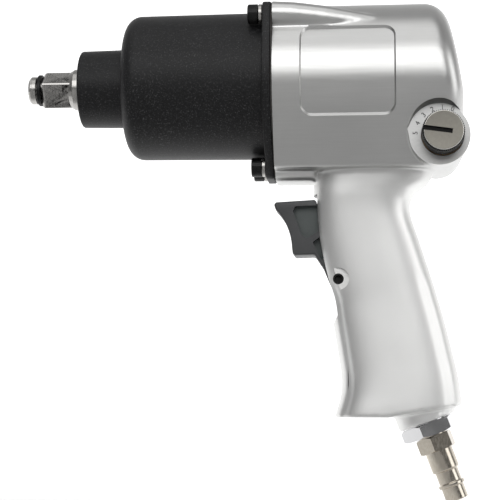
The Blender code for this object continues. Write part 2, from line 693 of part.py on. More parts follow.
# ---- air motor ----
def make_end_plates(iron, paper):
    """The two plates that close the liner, each with a bearing pocket, and the rear seal."""
    pocket = BEARING_RADIUS + GAP
    floor = PLATE_THICK - BEARING_WIDTH - 2 * GAP
    shaft = ROTOR_SHAFT + SHAFT_CLEAR
    front_profile = [
        (FRONT_PLATE_X, pocket), (FRONT_PLATE_X, LINER_RADIUS),
        (FRONT_PLATE_X + PLATE_THICK, LINER_RADIUS), (FRONT_PLATE_X + PLATE_THICK, shaft),
        (FRONT_PLATE_X + PLATE_THICK - floor, shaft),
        (FRONT_PLATE_X + PLATE_THICK - floor, pocket),
    ]
    front = turned("front_end_plate", front_profile, (0, 0, 0), AXIS_X, iron, FINE)
    rear_profile = [
        (REAR_PLATE_X, shaft), (REAR_PLATE_X, LINER_RADIUS),
        (REAR_PLATE_X + PLATE_THICK, LINER_RADIUS), (REAR_PLATE_X + PLATE_THICK, pocket),
        (REAR_PLATE_X + floor, pocket), (REAR_PLATE_X + floor, shaft),
    ]
    rear = turned("rear_end_plate", rear_profile, (0, 0, 0), AXIS_X, iron, FINE)
    tube("rear_seal", LINER_RADIUS, BEARING_RADIUS, SEAL_X, SEAL_X + SEAL_THICK, (0, 0, 0),
         AXIS_X, paper, FINE)
    return front, rear


def make_bearings(steel):
    """Ball bearings of the rotor, each drawn as its two races and shields in one ring."""
    inner = ROTOR_SHAFT + GAP
    places = (("front_bearing", FRONT_PLATE_X + GAP),
              ("rear_bearing", REAR_PLATE_X + PLATE_THICK - GAP - BEARING_WIDTH))
    for name, start in places:
        end = start + BEARING_WIDTH
        low = inner + RACE
        high = BEARING_RADIUS - RACE
        profile = [
            (start, inner), (start, low), (start + SHIELD_DEPTH, low), (start + SHIELD_DEPTH, high),
            (start, high), (start, BEARING_RADIUS), (end, BEARING_RADIUS), (end, high),
            (end - SHIELD_DEPTH, high), (end - SHIELD_DEPTH, low), (end, low), (end, inner),
        ]
        turned(name, profile, (0, 0, 0), AXIS_X, steel, ROUND)


def make_liner(iron):
    """The cylinder liner, whose bore lies off the rotor's axis."""
    liner = rod("cylinder_liner", LINER_RADIUS, LINER_X, LINER_X + LINER_LENGTH, (0, 0, 0),
                AXIS_X, iron, FINE)
    cut(liner, rod("liner_bore", LINER_BORE, LINER_X - 1, LINER_X + LINER_LENGTH + 1,
                   (0, 0, LINER_OFFSET), AXIS_X, None, FINE))
    for number in (-1, 0, 1):
        place = (LINER_X + LINER_LENGTH / 2 + number * LINER_PORT_SPACING, LINER_PORT_Y, 0)
        cut(liner, rod(f"liner_port_{number + 2}", LINER_PORT_RADIUS, -LINER_RADIUS - 1,
                       LINER_OFFSET - LINER_BORE + 2, place, AXIS_Z, None, SMALL))
    return liner


def make_dowel(steel, front_plate, rear_plate, liner):
    """The dowel that keeps plates and liner from turning, and its holes."""
    place = (0, 0, -DOWEL_CIRCLE)
    begin = FRONT_PLATE_X + PLATE_THICK / 2
    end = REAR_PLATE_X + PLATE_THICK / 2
    rod("motor_dowel", DOWEL_RADIUS, begin, end, place, AXIS_X, steel, SMALL)
    for number, piece in enumerate((front_plate, rear_plate, liner), 1):
        cut(piece, rod(f"dowel_hole_{number}", DOWEL_RADIUS + GAP, begin - GAP, end + GAP, place,
                       AXIS_X, None, SMALL))


def make_rotor(steel):
    """The slotted rotor with its shaft and the hexagon that drives the hammer frame."""
    start = LINER_X + GAP
    end = LINER_X + LINER_LENGTH - GAP
    profile = [
        (FRONT_PLATE_X - 1, 0), (FRONT_PLATE_X - 1, ROTOR_SHAFT), (start, ROTOR_SHAFT),
        (start, ROTOR_RADIUS), (end, ROTOR_RADIUS), (end, ROTOR_SHAFT),
        (SEAL_X - GAP, ROTOR_SHAFT), (SEAL_X - GAP, 0),
    ]
    rotor = turned("rotor", profile, (0, 0, 0), AXIS_X, steel, FINE)
    hex_start = FRAME_REAR_X + FRAME_REAR_DISC / 2 + 2 * GAP
    join(rotor, rod("rotor_hex", ROTOR_HEX, hex_start, FRONT_PLATE_X, (0, 0, 0), AXIS_X, None, 6))
    for number in range(VANES):
        angle = 2 * math.pi * number / VANES
        outline = radial_bar(angle, ROTOR_RADIUS - VANE_DEPTH - GAP, ROTOR_RADIUS + 1,
                             VANE_THICK / 2 + GAP)
        cut(rotor, plate(f"vane_slot_{number + 1}", outline, start - 1, end + 1, (0, 0, 0), AXIS_X))
    return rotor


def radial_bar(angle, inner, outer, half):
    """A narrow bar that points out from the axis, as (y, z) points."""
    out = (math.cos(angle), math.sin(angle))
    side = (-out[1] * half, out[0] * half)
    return [(out[0] * inner - side[0], out[1] * inner - side[1]),
            (out[0] * outer - side[0], out[1] * outer - side[1]),
            (out[0] * outer + side[0], out[1] * outer + side[1]),
            (out[0] * inner + side[0], out[1] * inner + side[1])]


def make_vanes(fibre):
    """The six vanes, lying home in their slots as they do with the air off."""
    outer = ROTOR_RADIUS - 0.1
    for number in range(VANES):
        outline = radial_bar(2 * math.pi * number / VANES, outer - VANE_DEPTH, outer,
                             VANE_THICK / 2)
        plate(f"vane_{number + 1}", outline, LINER_X + 2 * GAP, LINER_X + LINER_LENGTH - 2 * GAP,
              (0, 0, 0), AXIS_X, fibre)


# ---- housing ----
def body_outline(inset=0.0):
    """The body's section: round on top, with two rounded lower edges, as equally many points."""
    centres = (-SKIRT_Y, SKIRT_Y)
    low = -(BODY_RADIUS + SKIRT_DROP)
    points = circle((0, 0), BODY_RADIUS, FINE)
    for y in centres:
        points += circle((y, low), SKIRT_ROUND, SMALL)
    shrink = 1 - inset / BODY_RADIUS
    return [(y * shrink, z * shrink) for y, z in band_around(points)]


def body_section(x, slope, inset):
    """One section of the body; the rear ones lean with the rear face."""
    return [(x - slope * max(z, KNEE_Z), y, z) for y, z in body_outline(inset)]


def make_body():
    """The motor end of the housing, from its front face to its rounded rear."""
    rear = HOUSING_X + BODY_LENGTH
    sections = [body_section(HOUSING_X - FACE_STOCK, 0, 0), body_section(HOUSING_X + 34, 0, 0),
                body_section(HOUSING_X + 52, REAR_SLOPE * 0.3, 0),
                body_section(rear - REAR_ROUND, REAR_SLOPE * 0.9, 0)]
    steps = 5
    for step in range(1, steps + 1):
        angle = math.pi / 2 * step / steps
        x = rear - REAR_ROUND * (1 - math.sin(angle))
        sections.append(body_section(x, REAR_SLOPE, REAR_ROUND * (1 - math.cos(angle))))
    return loft("housing_body", sections, (0, 0, 0), None, domed=True)


def make_foot():
    """The two lower bolt bosses and the web between them."""
    points = []
    for y, z in BOLTS[2:]:
        points += circle((y, z), FOOT_RADIUS, SMALL)
    points += [(-LOW_BOLT_Y, -BODY_RADIUS + 8), (LOW_BOLT_Y, -BODY_RADIUS + 8)]
    return plate("housing_foot", band_around(points), HOUSING_X - 2 * FACE_STOCK,
                 HOUSING_X + FOOT_LENGTH,
                 (0, 0, 0), AXIS_X)


def make_top_bosses():
    """The two upper bolt bosses, which fade into the body towards the rear."""
    bosses = []
    for label, (y, z) in zip(("left", "right"), BOLTS[:2]):
        sections = []
        for x, radius, pull in ((-3 * FACE_STOCK, EAR_RADIUS + GAP, 1.0), *BOSS_FADE):
            ring = circle((y * pull, z * pull), radius, SMALL)
            sections.append([(HOUSING_X + x, *point) for point in ring])
        bosses.append(loft("housing_boss_" + label, sections, (0, 0, 0)))
    return bosses


def grip_section(drop, front, rear, half):
    """One level section of the grip, a superellipse."""
    middle = HOUSING_X + (front + rear) / 2
    reach = (rear - front) / 2
    power = 2 / GRIP_SQUARENESS
    points = []
    for step in range(40):
        angle = 2 * math.pi * step / 40
        cosine, sine = math.cos(angle), math.sin(angle)
        points.append((middle + reach * math.copysign(abs(cosine) ** power, cosine),
                       half * math.copysign(abs(sine) ** power, sine), GRIP_TOP - drop))
    return points


def boss_outline(margin=0.0):
    """The regulator boss's outline about the valve's axis: a round end and one front corner."""
    points = circle((VALVE_BOSS_SHIFT_X, 0), VALVE_BOSS_RADIUS + margin, ROUND)
    points.append((VALVE_BOSS_CORNER_X - margin, VALVE_BOSS_CORNER_Z + margin / 2))
    return band_around(points)


def make_valve_boss():
    """The cross boss of the regulator, cast proud of its two flat faces."""
    end = VALVE_FACE_Y + FACE_STOCK
    sections = [[(VALVE_AXIS.x + px * size, y, VALVE_AXIS.z + pz * size)
                 for px, pz in boss_outline()] for y, size in ((-end, 1.0), (end, VALVE_BOSS_DRAFT))]
    return loft("housing_valve_boss", sections, (0, 0, 0))


def cut_scoops(housing):
    """Machines the boss's two faces, with a flared clearance in the body around each."""
    for label, side in (("near", -1), ("far", 1)):
        sections = []
        for y, grow in ((VALVE_FACE_Y, 1.0), (SCOOP_END, SCOOP_FLARE)):
            sections.append([(VALVE_AXIS.x + px * grow, side * y, VALVE_AXIS.z + pz * grow)
                             for px, pz in boss_outline(SCOOP_MARGIN)])
        cut(housing, loft("valve_scoop_" + label, sections, (0, 0, 0)))


def cut_trigger_slot(housing):
    """The slot that the trigger works in, and the cross hole of its roll pin."""
    low = TRIGGER_PIVOT.z
    face = HOUSING_X
    floor = low - SLOT_FLOOR_DROP
    outline = [
        (face, GRIP_TOP - SLOT_DROP), (face + SLOT_DEPTH, GRIP_TOP - SLOT_DROP),
        (face + SLOT_DEPTH, low + SLOT_STEP_RISE), (face + SLOT_LOW_DEPTH, low + TRIGGER_BOSS),
        (face + SLOT_LOW_DEPTH, floor), (face, floor),
    ]
    cut(housing, rod("throttle_rod_hole", ROD_RADIUS + GAP, face + SLOT_DEPTH - 1,
                     face + SLOT_DEPTH + 8, (0, 0, low + ROD_RISE), AXIS_X, None, SMALL))
    cut(housing, rod("roll_pin_hole", ROLL_PIN_RADIUS + GAP, -40, 40, TRIGGER_PIVOT, AXIS_Y,
                     None, SMALL))
    cut(housing, plate("trigger_slot", outline, -TRIGGER_HALF - SLOT_GAP,
                       TRIGGER_HALF + SLOT_GAP, (0, 0, 0), AXIS_Y))


def passage(name, first, last, radius):
    """A straight air passage between two points."""
    first, last = Vector(first), Vector(last)
    axis = (last - first).normalized()
    return rod(name, radius, 0, (last - first).length, first, axis, None, SMALL)


def cut_air_ways(housing):
    """Inlet thread, valve chamber, stem passage, the way to the reverse valve, and the exhaust."""
    seat = ORING_RADIUS + ORING_WIRE + GAP
    profile = [
        (-1, 0), (-1, seat), (ORING_SEAT_DEPTH, seat), (ORING_SEAT_DEPTH, INLET_THREAD + GAP),
        (INLET_DEPTH, INLET_THREAD + GAP), (INLET_DEPTH, CHAMBER_RADIUS),
        (CHAMBER_END, CHAMBER_RADIUS), (CHAMBER_END, STEM_PASSAGE),
        (STEM_PASSAGE_END, STEM_PASSAGE), (STEM_PASSAGE_END, 0),
    ]
    cut(housing, turned("inlet_way", profile, INLET_FACE, INLET_UP, None, ROUND))
    branch = INLET_FACE + INLET_UP * (CHAMBER_END + AIR_WAY_STEP)
    bend = Vector((HOUSING_X + AIR_WAY_X, 0, GRIP_TOP - AIR_WAY_DROP))
    cut(housing, passage("air_way_low", branch, bend, AIR_WAY_RADIUS))
    end = VALVE_AXIS - (AXIS_X + AXIS_Z) * (VALVE_BUSH_RADIUS / 2)
    cut(housing, passage("air_way_high", bend - AXIS_Z * (AIR_WAY_RADIUS / 2), end,
                         AIR_WAY_HIGH_RADIUS))
    cut(housing, rod("valve_bore", VALVE_BUSH_RADIUS + GAP, -VALVE_FACE_Y - 1, VALVE_FACE_Y + 1,
                     VALVE_AXIS, AXIS_Y, None, ROUND))
    for label, y in (("left", -MOTOR_WAY_Y), ("right", MOTOR_WAY_Y)):
        cut(housing, passage("motor_way_" + label, (BORE_END - 1, y, MOTOR_WAY_Z),
                             (VALVE_AXIS.x - BUSH_BORE, y, MOTOR_WAY_LOW_Z), MOTOR_WAY_RADIUS))
    base = GRIP_TOP - GRIP_DROP
    for label, y in (("left", -EXHAUST_Y), ("right", EXHAUST_Y)):
        cut(housing, rod("exhaust_way_" + label, EXHAUST_RADIUS, base + MUFFLER_HEIGHT - 1,
                         LINER_PORT_Y - MOTOR_BORE / 2, (HOUSING_X + EXHAUST_X, y, 0), AXIS_Z,
                         None, SMALL))
    outline = [(HOUSING_X + MUFFLER_FRONT, base - 2), (HOUSING_X + MUFFLER_REAR, base - 2),
               (HOUSING_X + MUFFLER_REAR, base + MUFFLER_HEIGHT),
               (HOUSING_X + MUFFLER_FRONT, base + MUFFLER_HEIGHT)]
    cut(housing, plate("muffler_pocket", outline, -MUFFLER_HALF, MUFFLER_HALF, (0, 0, 0), AXIS_Y))


def make_housing(silver):
    """The cast housing with its grip, hollow for the motor and drilled for the air."""
    sections = [grip_section(*row) for row in GRIP_SECTIONS]
    housing = loft("motor_housing", sections, (0, 0, 0), silver)
    base = GRIP_TOP - GRIP_DROP
    heel = HOUSING_X + GRIP_HEEL_END
    slope = GRIP_HEEL_RISE / (GRIP_HEEL_END - GRIP_FLAT)
    outline = [(HOUSING_X, base), (HOUSING_X + GRIP_FLAT, base), (heel, base + GRIP_HEEL_RISE),
               (heel + 20, base + GRIP_HEEL_RISE + 20 * slope), (heel + 20, base - 30),
               (HOUSING_X, base - 30)]
    cut(housing, plate("grip_base_trim", outline, -40, 40, (0, 0, 0), AXIS_Y))
    join(housing, make_body(), make_foot(), *make_top_bosses(), make_valve_boss())
    join(housing, rod("housing_inlet_boss", INLET_BOSS_RADIUS, 0, 20, INLET_FACE, INLET_UP,
                      None, ROUND))
    cut(housing, rod("front_face", 2 * BODY_RADIUS, HOUSING_X - 10, HOUSING_X, (0, 0, 0), AXIS_X,
                     None, SMALL))
    cut_scoops(housing)
    cut(housing, rod("motor_bore", MOTOR_BORE, HOUSING_X - 1, BORE_END, (0, 0, 0), AXIS_X, None,
                     FINE))
    cut(housing, *bolt_holes("housing_bolt_hole", BOLT_RADIUS + GAP, HOUSING_X - 1,
                             FLANGE_X + BOLT_GRIP + 1))
    cut_trigger_slot(housing)
    cut_air_ways(housing)
    return housing


# ---- trigger and throttle ----
def trigger_outline():
    """The trigger's side outline about its pivot: nose, hollow front, tail and pivot boss."""
    x, z = TRIGGER_PIVOT.x, TRIGGER_PIVOT.z
    front = arc((x - 47.1, z + 13.7), 26.2, 44, 2, 9)
    boss = arc((x, z), TRIGGER_BOSS, -150, 40, 8)
    return [
        (x - 10.2, z + 36.2), (x - 26.6, z + 35.3), (x - 28.8, z + 34.2), (x - 29.0, z + 33.0),
        *front, (x - 20.6, z + 12.8), (x - 19.0, z + 11.0), (x - 10.8, z + 11.3),
        (x - 6.9, z + 5.3), *boss, (x - 3.0, z + 8.0), (x - 4.6, z + 14.0), (x - 5.2, z + 24.0),
    ]


def pocket_outline():
    """The pocket on each side of the trigger."""
    x, z = TRIGGER_PIVOT.x, TRIGGER_PIVOT.z
    return [(x - 6.8, z + 33.6), (x - 18.6, z + 33.4), (x - 20.3, z + 31.4), (x - 16.4, z + 20.4),
            (x - 14.6, z + 18.6), (x - 12.4, z + 18.9), (x - 7.2, z + 22.8)]


def make_trigger(plastic, steel):
    """The trigger on its split roll pin."""
    trigger = plate("trigger", trigger_outline(), -TRIGGER_HALF, TRIGGER_HALF, TRIGGER_PIVOT,
                    AXIS_Y, plastic)
    for label, begin, end in (("near", -ROLL_PIN_HALF, -TRIGGER_WEB),
                              ("far", TRIGGER_WEB, ROLL_PIN_HALF)):
        cut(trigger, plate("trigger_pocket_" + label, pocket_outline(), begin, end,
                           TRIGGER_PIVOT, AXIS_Y))
    cut(trigger, rod("trigger_hole", ROLL_PIN_RADIUS + RUN, -ROLL_PIN_HALF, ROLL_PIN_HALF,
                     TRIGGER_PIVOT, AXIS_Y, None, SMALL))
    for modifier in trigger.modifiers:
        modifier.solver = "MANIFOLD"    # EXACT loses the whole trigger at some widths
    pin = tube("trigger_pin", ROLL_PIN_RADIUS, ROLL_PIN_RADIUS - ROLL_PIN_WALL, -ROLL_PIN_HALF,
               ROLL_PIN_HALF, TRIGGER_PIVOT, AXIS_Y, steel, SMALL)
    x, z = TRIGGER_PIVOT.x, TRIGGER_PIVOT.z
    half = ROLL_PIN_SLIT / 2
    low = z - 2 * ROLL_PIN_RADIUS
    outline = [(x - half, low), (x + half, low), (x + half, z), (x - half, z)]
    cut(pin, plate("trigger_pin_slit", outline, -ROLL_PIN_HALF - 1, ROLL_PIN_HALF + 1, (0, 0, 0),
                   AXIS_Y))


def make_throttle(steel, brass, rubber):
    """The rod behind the trigger, the tilting valve, its seat, spring and inlet screen."""
    rod_z = TRIGGER_PIVOT.z + ROD_RISE
    start = TRIGGER_PIVOT.x - 3.0
    stem_x = INLET_FACE.x - (rod_z - INLET_FACE.z) * math.tan(math.radians(INLET_TILT))
    lean = STEM_RADIUS / math.cos(math.radians(INLET_TILT))
    reach = stem_x - lean - ROD_RADIUS * math.tan(math.radians(INLET_TILT)) - GAP
    profile = [(start, 0), (start, ROD_RADIUS - 0.4), (start + 0.4, ROD_RADIUS),
               (reach, ROD_RADIUS), (reach, 0)]
    turned("throttle_rod", profile, (0, 0, rod_z), AXIS_X, steel, SMALL)
    seat_start = CHAMBER_END - SEAT_WIDTH
    tube("throttle_seat", CHAMBER_RADIUS - GAP, SEAT_BORE, seat_start, CHAMBER_END - GAP,
         INLET_FACE, INLET_UP, brass, ROUND)
    top = seat_start - GAP
    low = top - VALVE_DISC_WIDTH
    valve_profile = [
        (low, 0), (low, VALVE_DISC_RADIUS - 0.6), (low + 0.6, VALVE_DISC_RADIUS),
        (top, VALVE_DISC_RADIUS), (top, STEM_RADIUS), (STEM_END, STEM_RADIUS), (STEM_END, 0),
    ]
    turned("throttle_valve", valve_profile, INLET_FACE, INLET_UP, steel, SMALL)
    screen_start = INLET_DEPTH + GAP
    screen = tube("inlet_screen", CHAMBER_RADIUS - GAP, SCREEN_HOLE, screen_start,
                  screen_start + SCREEN_THICK, INLET_FACE, INLET_UP, brass, ROUND)
    across, other = axis_frame(INLET_UP)
    for number in range(SCREEN_HOLES):
        angle = 2 * math.pi * (number + 0.3) / SCREEN_HOLES
        middle = INLET_FACE + SCREEN_CIRCLE * (across * math.cos(angle) + other * math.sin(angle))
        cut(screen, rod(f"screen_hole_{number}", SCREEN_HOLE, screen_start - 1,
                        screen_start + SCREEN_THICK + 1, middle, INLET_UP, None, 8))
    coil("throttle_spring", SPRING_LOW_RADIUS, SPRING_HIGH_RADIUS,
         screen_start + SCREEN_THICK + SPRING_WIRE + GAP, low - SPRING_WIRE - GAP, SPRING_TURNS,
         SPRING_WIRE, INLET_FACE, INLET_UP, steel)
    o_ring("inlet_oring", ORING_RADIUS, ORING_WIRE, ORING_SEAT_DEPTH / 2, INLET_FACE, INLET_UP,
           rubber)


# ---- inlet bushing and plug ----
def make_inlet(chrome):
    """The hexagon bushing in the grip and the quick-connect plug in the bushing."""
    down = -INLET_UP
    bore = PLUG_THREAD + GAP
    bushing = tube("inlet_bushing", INLET_THREAD, bore, -INLET_DEPTH + GAP, 2, INLET_FACE, down,
                   chrome, ROUND)
    corner = BUSHING_FLATS / math.sqrt(3)
    hex_head = rod("bushing_hex", corner, GAP, GAP + BUSHING_HEX_HEIGHT, INLET_FACE, down, None,
                   6, 20)
    join(bushing, hex_head)
    cut(bushing, rod("bushing_bore", bore, -INLET_DEPTH, 10, INLET_FACE, down, None, ROUND))
    plug_profile = [
        (-9, PLUG_BORE), (-9, PLUG_THREAD), (PLUG_HEX_START + 1, PLUG_THREAD),
        (PLUG_HEX_END - 1, PLUG_THREAD), (PLUG_HEX_END - 1, PLUG_BODY_RADIUS),
        (PLUG_BODY_END, PLUG_BODY_RADIUS), (PLUG_BODY_END + 0.6, PLUG_NECK_RADIUS),
        (PLUG_NECK_END, PLUG_NECK_RADIUS), (PLUG_NECK_END, PLUG_COLLAR_RADIUS),
        (PLUG_COLLAR_END, PLUG_COLLAR_RADIUS), (PLUG_COLLAR_END + 0.6, PLUG_TIP_RADIUS),
        (PLUG_END, PLUG_TIP_RADIUS), (PLUG_END, PLUG_BORE),
    ]
    plug = turned("air_plug", plug_profile, INLET_FACE, down, chrome, 24)
    corner = PLUG_FLATS / math.sqrt(3)
    plug_hex = turned("plug_hex", [
        (PLUG_HEX_START, PLUG_BORE + 0.5), (PLUG_HEX_START, corner - 0.6),
        (PLUG_HEX_START + 0.6, corner), (PLUG_HEX_END - 0.6, corner), (PLUG_HEX_END, corner - 0.6),
        (PLUG_HEX_END, PLUG_BORE + 0.5)], INLET_FACE, down, None, 6, 12)
    join(plug, plug_hex)


# ---- regulator and reverse valve ----
def make_regulator(bronze, steel, black):
    """The valve's bushing, spool, knob, detent, retaining ring and end cap."""
    front = -VALVE_FACE_Y + GAP
    back = VALVE_FACE_Y - END_CAP_THICK - RETAINER_WIDTH - 5 * GAP
    bush = tube("valve_bushing", VALVE_BUSH_RADIUS, BUSH_BORE, front, back, VALVE_AXIS, AXIS_Y,
                bronze, ROUND)
    reach = VALVE_BUSH_RADIUS + 1
    cut(bush, rod("valve_bush_port", BUSH_PORT_RADIUS, 0, reach, VALVE_AXIS,
                  -(AXIS_X + AXIS_Z).normalized(), None, SMALL))
    for label, y in (("left", -MOTOR_WAY_Y), ("right", MOTOR_WAY_Y)):
        cut(bush, rod("valve_bush_motor_port_" + label, MOTOR_WAY_RADIUS, 0, reach,
                      VALVE_AXIS + AXIS_Y * y, -AXIS_X, None, SMALL))
    spool_radius = BUSH_BORE - RUN
    groove = spool_radius - SPOOL_GROOVE
    spool_profile = [
        (-VALVE_FACE_Y - KNOB_HEIGHT / 2, 0), (-VALVE_FACE_Y - KNOB_HEIGHT / 2, KNOB_STUB),
        (-VALVE_FACE_Y + 2, KNOB_STUB), (-VALVE_FACE_Y + 2, spool_radius),
        (-SPOOL_END, spool_radius), (-SPOOL_END, groove), (-SPOOL_LAND, groove),
        (-SPOOL_LAND, spool_radius), (SPOOL_LAND, spool_radius), (SPOOL_LAND, groove),
        (SPOOL_END, groove), (SPOOL_END, spool_radius), (back - 1, spool_radius), (back - 1, 0),
    ]
    turned("valve_spool", spool_profile, VALVE_AXIS, AXIS_Y, steel, 24)
    tube("valve_retaining_ring", VALVE_BUSH_RADIUS, VALVE_BUSH_RADIUS - RETAINER_WALL, back + GAP,
         back + GAP + RETAINER_WIDTH, VALVE_AXIS, AXIS_Y, steel, ROUND)
    rod("valve_end_cap", VALVE_BUSH_RADIUS - 0.1, VALVE_FACE_Y - END_CAP_THICK - GAP,
        VALVE_FACE_Y - GAP, VALVE_AXIS, AXIS_Y, black, ROUND)
    make_knob(black)
    middle = -VALVE_FACE_Y - GAP - DETENT_BALL_RADIUS - 0.1
    round_side = arc((middle, 0), DETENT_BALL_RADIUS, 0, 180, 5)
    ball = [(round_side[0][0], 0), *round_side[1:-1], (round_side[-1][0], 0)]
    turned("detent_ball", ball, DETENT_AXIS, AXIS_Y, steel, SMALL)
    first = middle - DETENT_BALL_RADIUS - DETENT_SPRING_WIRE - GAP
    last = -VALVE_FACE_Y - GAP - DETENT_HOLE_DEPTH + DETENT_SPRING_WIRE + GAP
    coil("detent_spring", DETENT_SPRING_RADIUS, DETENT_SPRING_RADIUS, first, last,
         DETENT_SPRING_TURNS, DETENT_SPRING_WIRE, DETENT_AXIS, AXIS_Y, steel)


def knob_flutes():
    """The knob's knurled outline."""
    points = []
    for number in range(KNOB_FLUTES):
        angle = 2 * math.pi * number / KNOB_FLUTES
        half = math.pi / KNOB_FLUTES
        for turn, radius in ((0, KNOB_RADIUS), (half * 0.8, KNOB_RADIUS),
                             (half * 1.2, KNOB_RADIUS - 0.4), (half * 1.7, KNOB_RADIUS - 0.4)):
            points.append((radius * math.cos(angle + turn), radius * math.sin(angle + turn)))
    return points


def make_knob(black):
    """The regulator's knob: knurled skirt, flat face with a pointer slot, blind hub hole."""
    base = -VALVE_FACE_Y - GAP
    face = base - KNOB_HEIGHT
    rim = face + KNOB_CHAMFER
    flutes = knob_flutes()
    x, z = VALVE_AXIS.x, VALVE_AXIS.z
    sections = [[(x + px, base, z + pz) for px, pz in flutes],
                [(x + px, rim, z + pz) for px, pz in flutes]]
    knob = loft("regulator_knob", sections, VALVE_AXIS, black)
    join(knob, rod("knob_face", KNOB_FACE_RADIUS, rim + 0.5, face, VALVE_AXIS, AXIS_Y, None, ROUND))
    tilt = math.radians(KNOB_SLOT_TILT)
    along = Vector((math.cos(tilt), 0, math.sin(tilt)))
    side = Vector((-along.z, 0, along.x)) * (KNOB_SLOT / 2)
    first = VALVE_AXIS - along * (KNOB_RADIUS + 1)
    last = VALVE_AXIS + along * (KNOB_RADIUS * KNOB_SLOT_REACH)
    corners = [first - side, last - side, last + side, first + side]
    outline = [(corner.x, corner.z) for corner in corners]
    cut(knob, plate("knob_slot", outline, face - 1, face + KNOB_SLOT_DEPTH, (0, 0, 0), AXIS_Y))
    cut(knob, rod("knob_hub", KNOB_STUB + GAP, -VALVE_FACE_Y - KNOB_HEIGHT / 2 - GAP,
                  -VALVE_FACE_Y + 1, VALVE_AXIS, AXIS_Y, None, 24))
    cut(knob, rod("knob_detent_hole", DETENT_HOLE_RADIUS, base - DETENT_HOLE_DEPTH, base + 1,
                  DETENT_AXIS, AXIS_Y, None, SMALL))


# ---- exhaust ----
def make_exhaust(felt, black):
    """The muffler in the grip's base and the slotted plate that closes it."""
    base = GRIP_TOP - GRIP_DROP + DEFLECTOR_INSET
    front = HOUSING_X + MUFFLER_FRONT + GAP
    rear = HOUSING_X + MUFFLER_REAR - GAP
    half = MUFFLER_HALF - GAP
    low = base + DEFLECTOR_THICK + GAP
    high = GRIP_TOP - GRIP_DROP + MUFFLER_HEIGHT - MUFFLER_SPACE
    outline = [(front, low), (rear, low), (rear, high), (front, high)]
    plate("exhaust_muffler", outline, -half, half, (front, 0, low), AXIS_Y, felt)
    top = base + DEFLECTOR_THICK
    outline = [(front, base), (rear, base), (rear, top), (front, top)]
    cover = plate("exhaust_deflector", outline, -half, half, (front, 0, base), AXIS_Y, black)
    first, last = front + DEFLECTOR_RIM, rear - DEFLECTOR_RIM
    slot = [(first, base - 1), (last, base - 1), (last, top + 1), (first, top + 1)]
    for number in range(DEFLECTOR_SLOTS):
        y = (number - (DEFLECTOR_SLOTS - 1) / 2) * DEFLECTOR_PITCH
        cut(cover, plate(f"deflector_slot_{number + 1}", slot, y - DEFLECTOR_SLOT / 2,
                         y + DEFLECTOR_SLOT / 2, (0, 0, 0), AXIS_Y))


def main():
    clear_scene()
    silver = finish_material("cast_aluminium", (0.62, 0.62, 0.61), 0.3, 1.0)
    black_case = finish_material("black_case", (0.02, 0.02, 0.022), 0.5, 0.4)
    black = finish_material("black_oxide", (0.03, 0.03, 0.03), 0.4, 0.7)
    steel = finish_material("steel", (0.45, 0.45, 0.44), 0.3, 1.0)
    iron = finish_material("motor_iron", (0.3, 0.3, 0.3), 0.45, 1.0)
    chrome = finish_material("chrome", (0.75, 0.74, 0.72), 0.12, 1.0)
    bronze = finish_material("bronze", (0.55, 0.38, 0.2), 0.35, 1.0)
    plastic = finish_material("trigger_plastic", (0.07, 0.07, 0.075), 0.45, 0.0)
    rubber = finish_material("rubber", (0.02, 0.02, 0.02), 0.7, 0.0)
    paper = finish_material("gasket_paper", (0.1, 0.09, 0.08), 0.9, 0.0)
    fibre = finish_material("vane_fibre", (0.3, 0.18, 0.1), 0.7, 0.0)
    felt = finish_material("felt", (0.35, 0.34, 0.32), 0.95, 0.0)
    make_anvil(steel)
    make_socket_ring(black, rubber)
    make_hammer_case(black_case)
    make_nose_bushing(bronze)
    make_case_gasket(paper)
    make_bolts(black, black)
    make_hammer_frame(steel)
    make_hammers(steel)
    front_plate, rear_plate = make_end_plates(iron, paper)
    make_bearings(steel)
    liner = make_liner(iron)
    make_dowel(steel, front_plate, rear_plate, liner)
    make_rotor(steel)
    make_vanes(fibre)
    make_housing(silver)
    make_trigger(plastic, steel)
    make_throttle(steel, bronze, rubber)
    make_inlet(chrome)
    make_regulator(bronze, steel, black)
    make_exhaust(felt, black)


main()
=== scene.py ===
"""The looks of the air impact wrench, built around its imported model.

Sizes are in millimetres in the model's own frame: the origin is the middle of the drive's end face,
the drive points to -X, the grip hangs along -Z and the regulator knob faces -Y.
"""
import json
import math

import bmesh
import bpy
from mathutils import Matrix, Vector


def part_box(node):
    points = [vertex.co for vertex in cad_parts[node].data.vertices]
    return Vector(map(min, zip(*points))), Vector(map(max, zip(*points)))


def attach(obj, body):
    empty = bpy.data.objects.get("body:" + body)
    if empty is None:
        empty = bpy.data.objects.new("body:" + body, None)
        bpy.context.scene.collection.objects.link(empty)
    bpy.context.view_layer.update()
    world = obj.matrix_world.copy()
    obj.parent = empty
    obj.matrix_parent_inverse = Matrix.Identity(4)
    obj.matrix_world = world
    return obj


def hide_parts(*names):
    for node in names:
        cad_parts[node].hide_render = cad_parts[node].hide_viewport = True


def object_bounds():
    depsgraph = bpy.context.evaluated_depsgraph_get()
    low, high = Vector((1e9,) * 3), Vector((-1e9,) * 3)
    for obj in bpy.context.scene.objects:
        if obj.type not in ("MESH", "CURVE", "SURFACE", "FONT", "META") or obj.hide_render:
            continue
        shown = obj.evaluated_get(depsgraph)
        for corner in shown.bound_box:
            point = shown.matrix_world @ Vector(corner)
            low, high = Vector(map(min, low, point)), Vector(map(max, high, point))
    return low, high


MM = 0.001
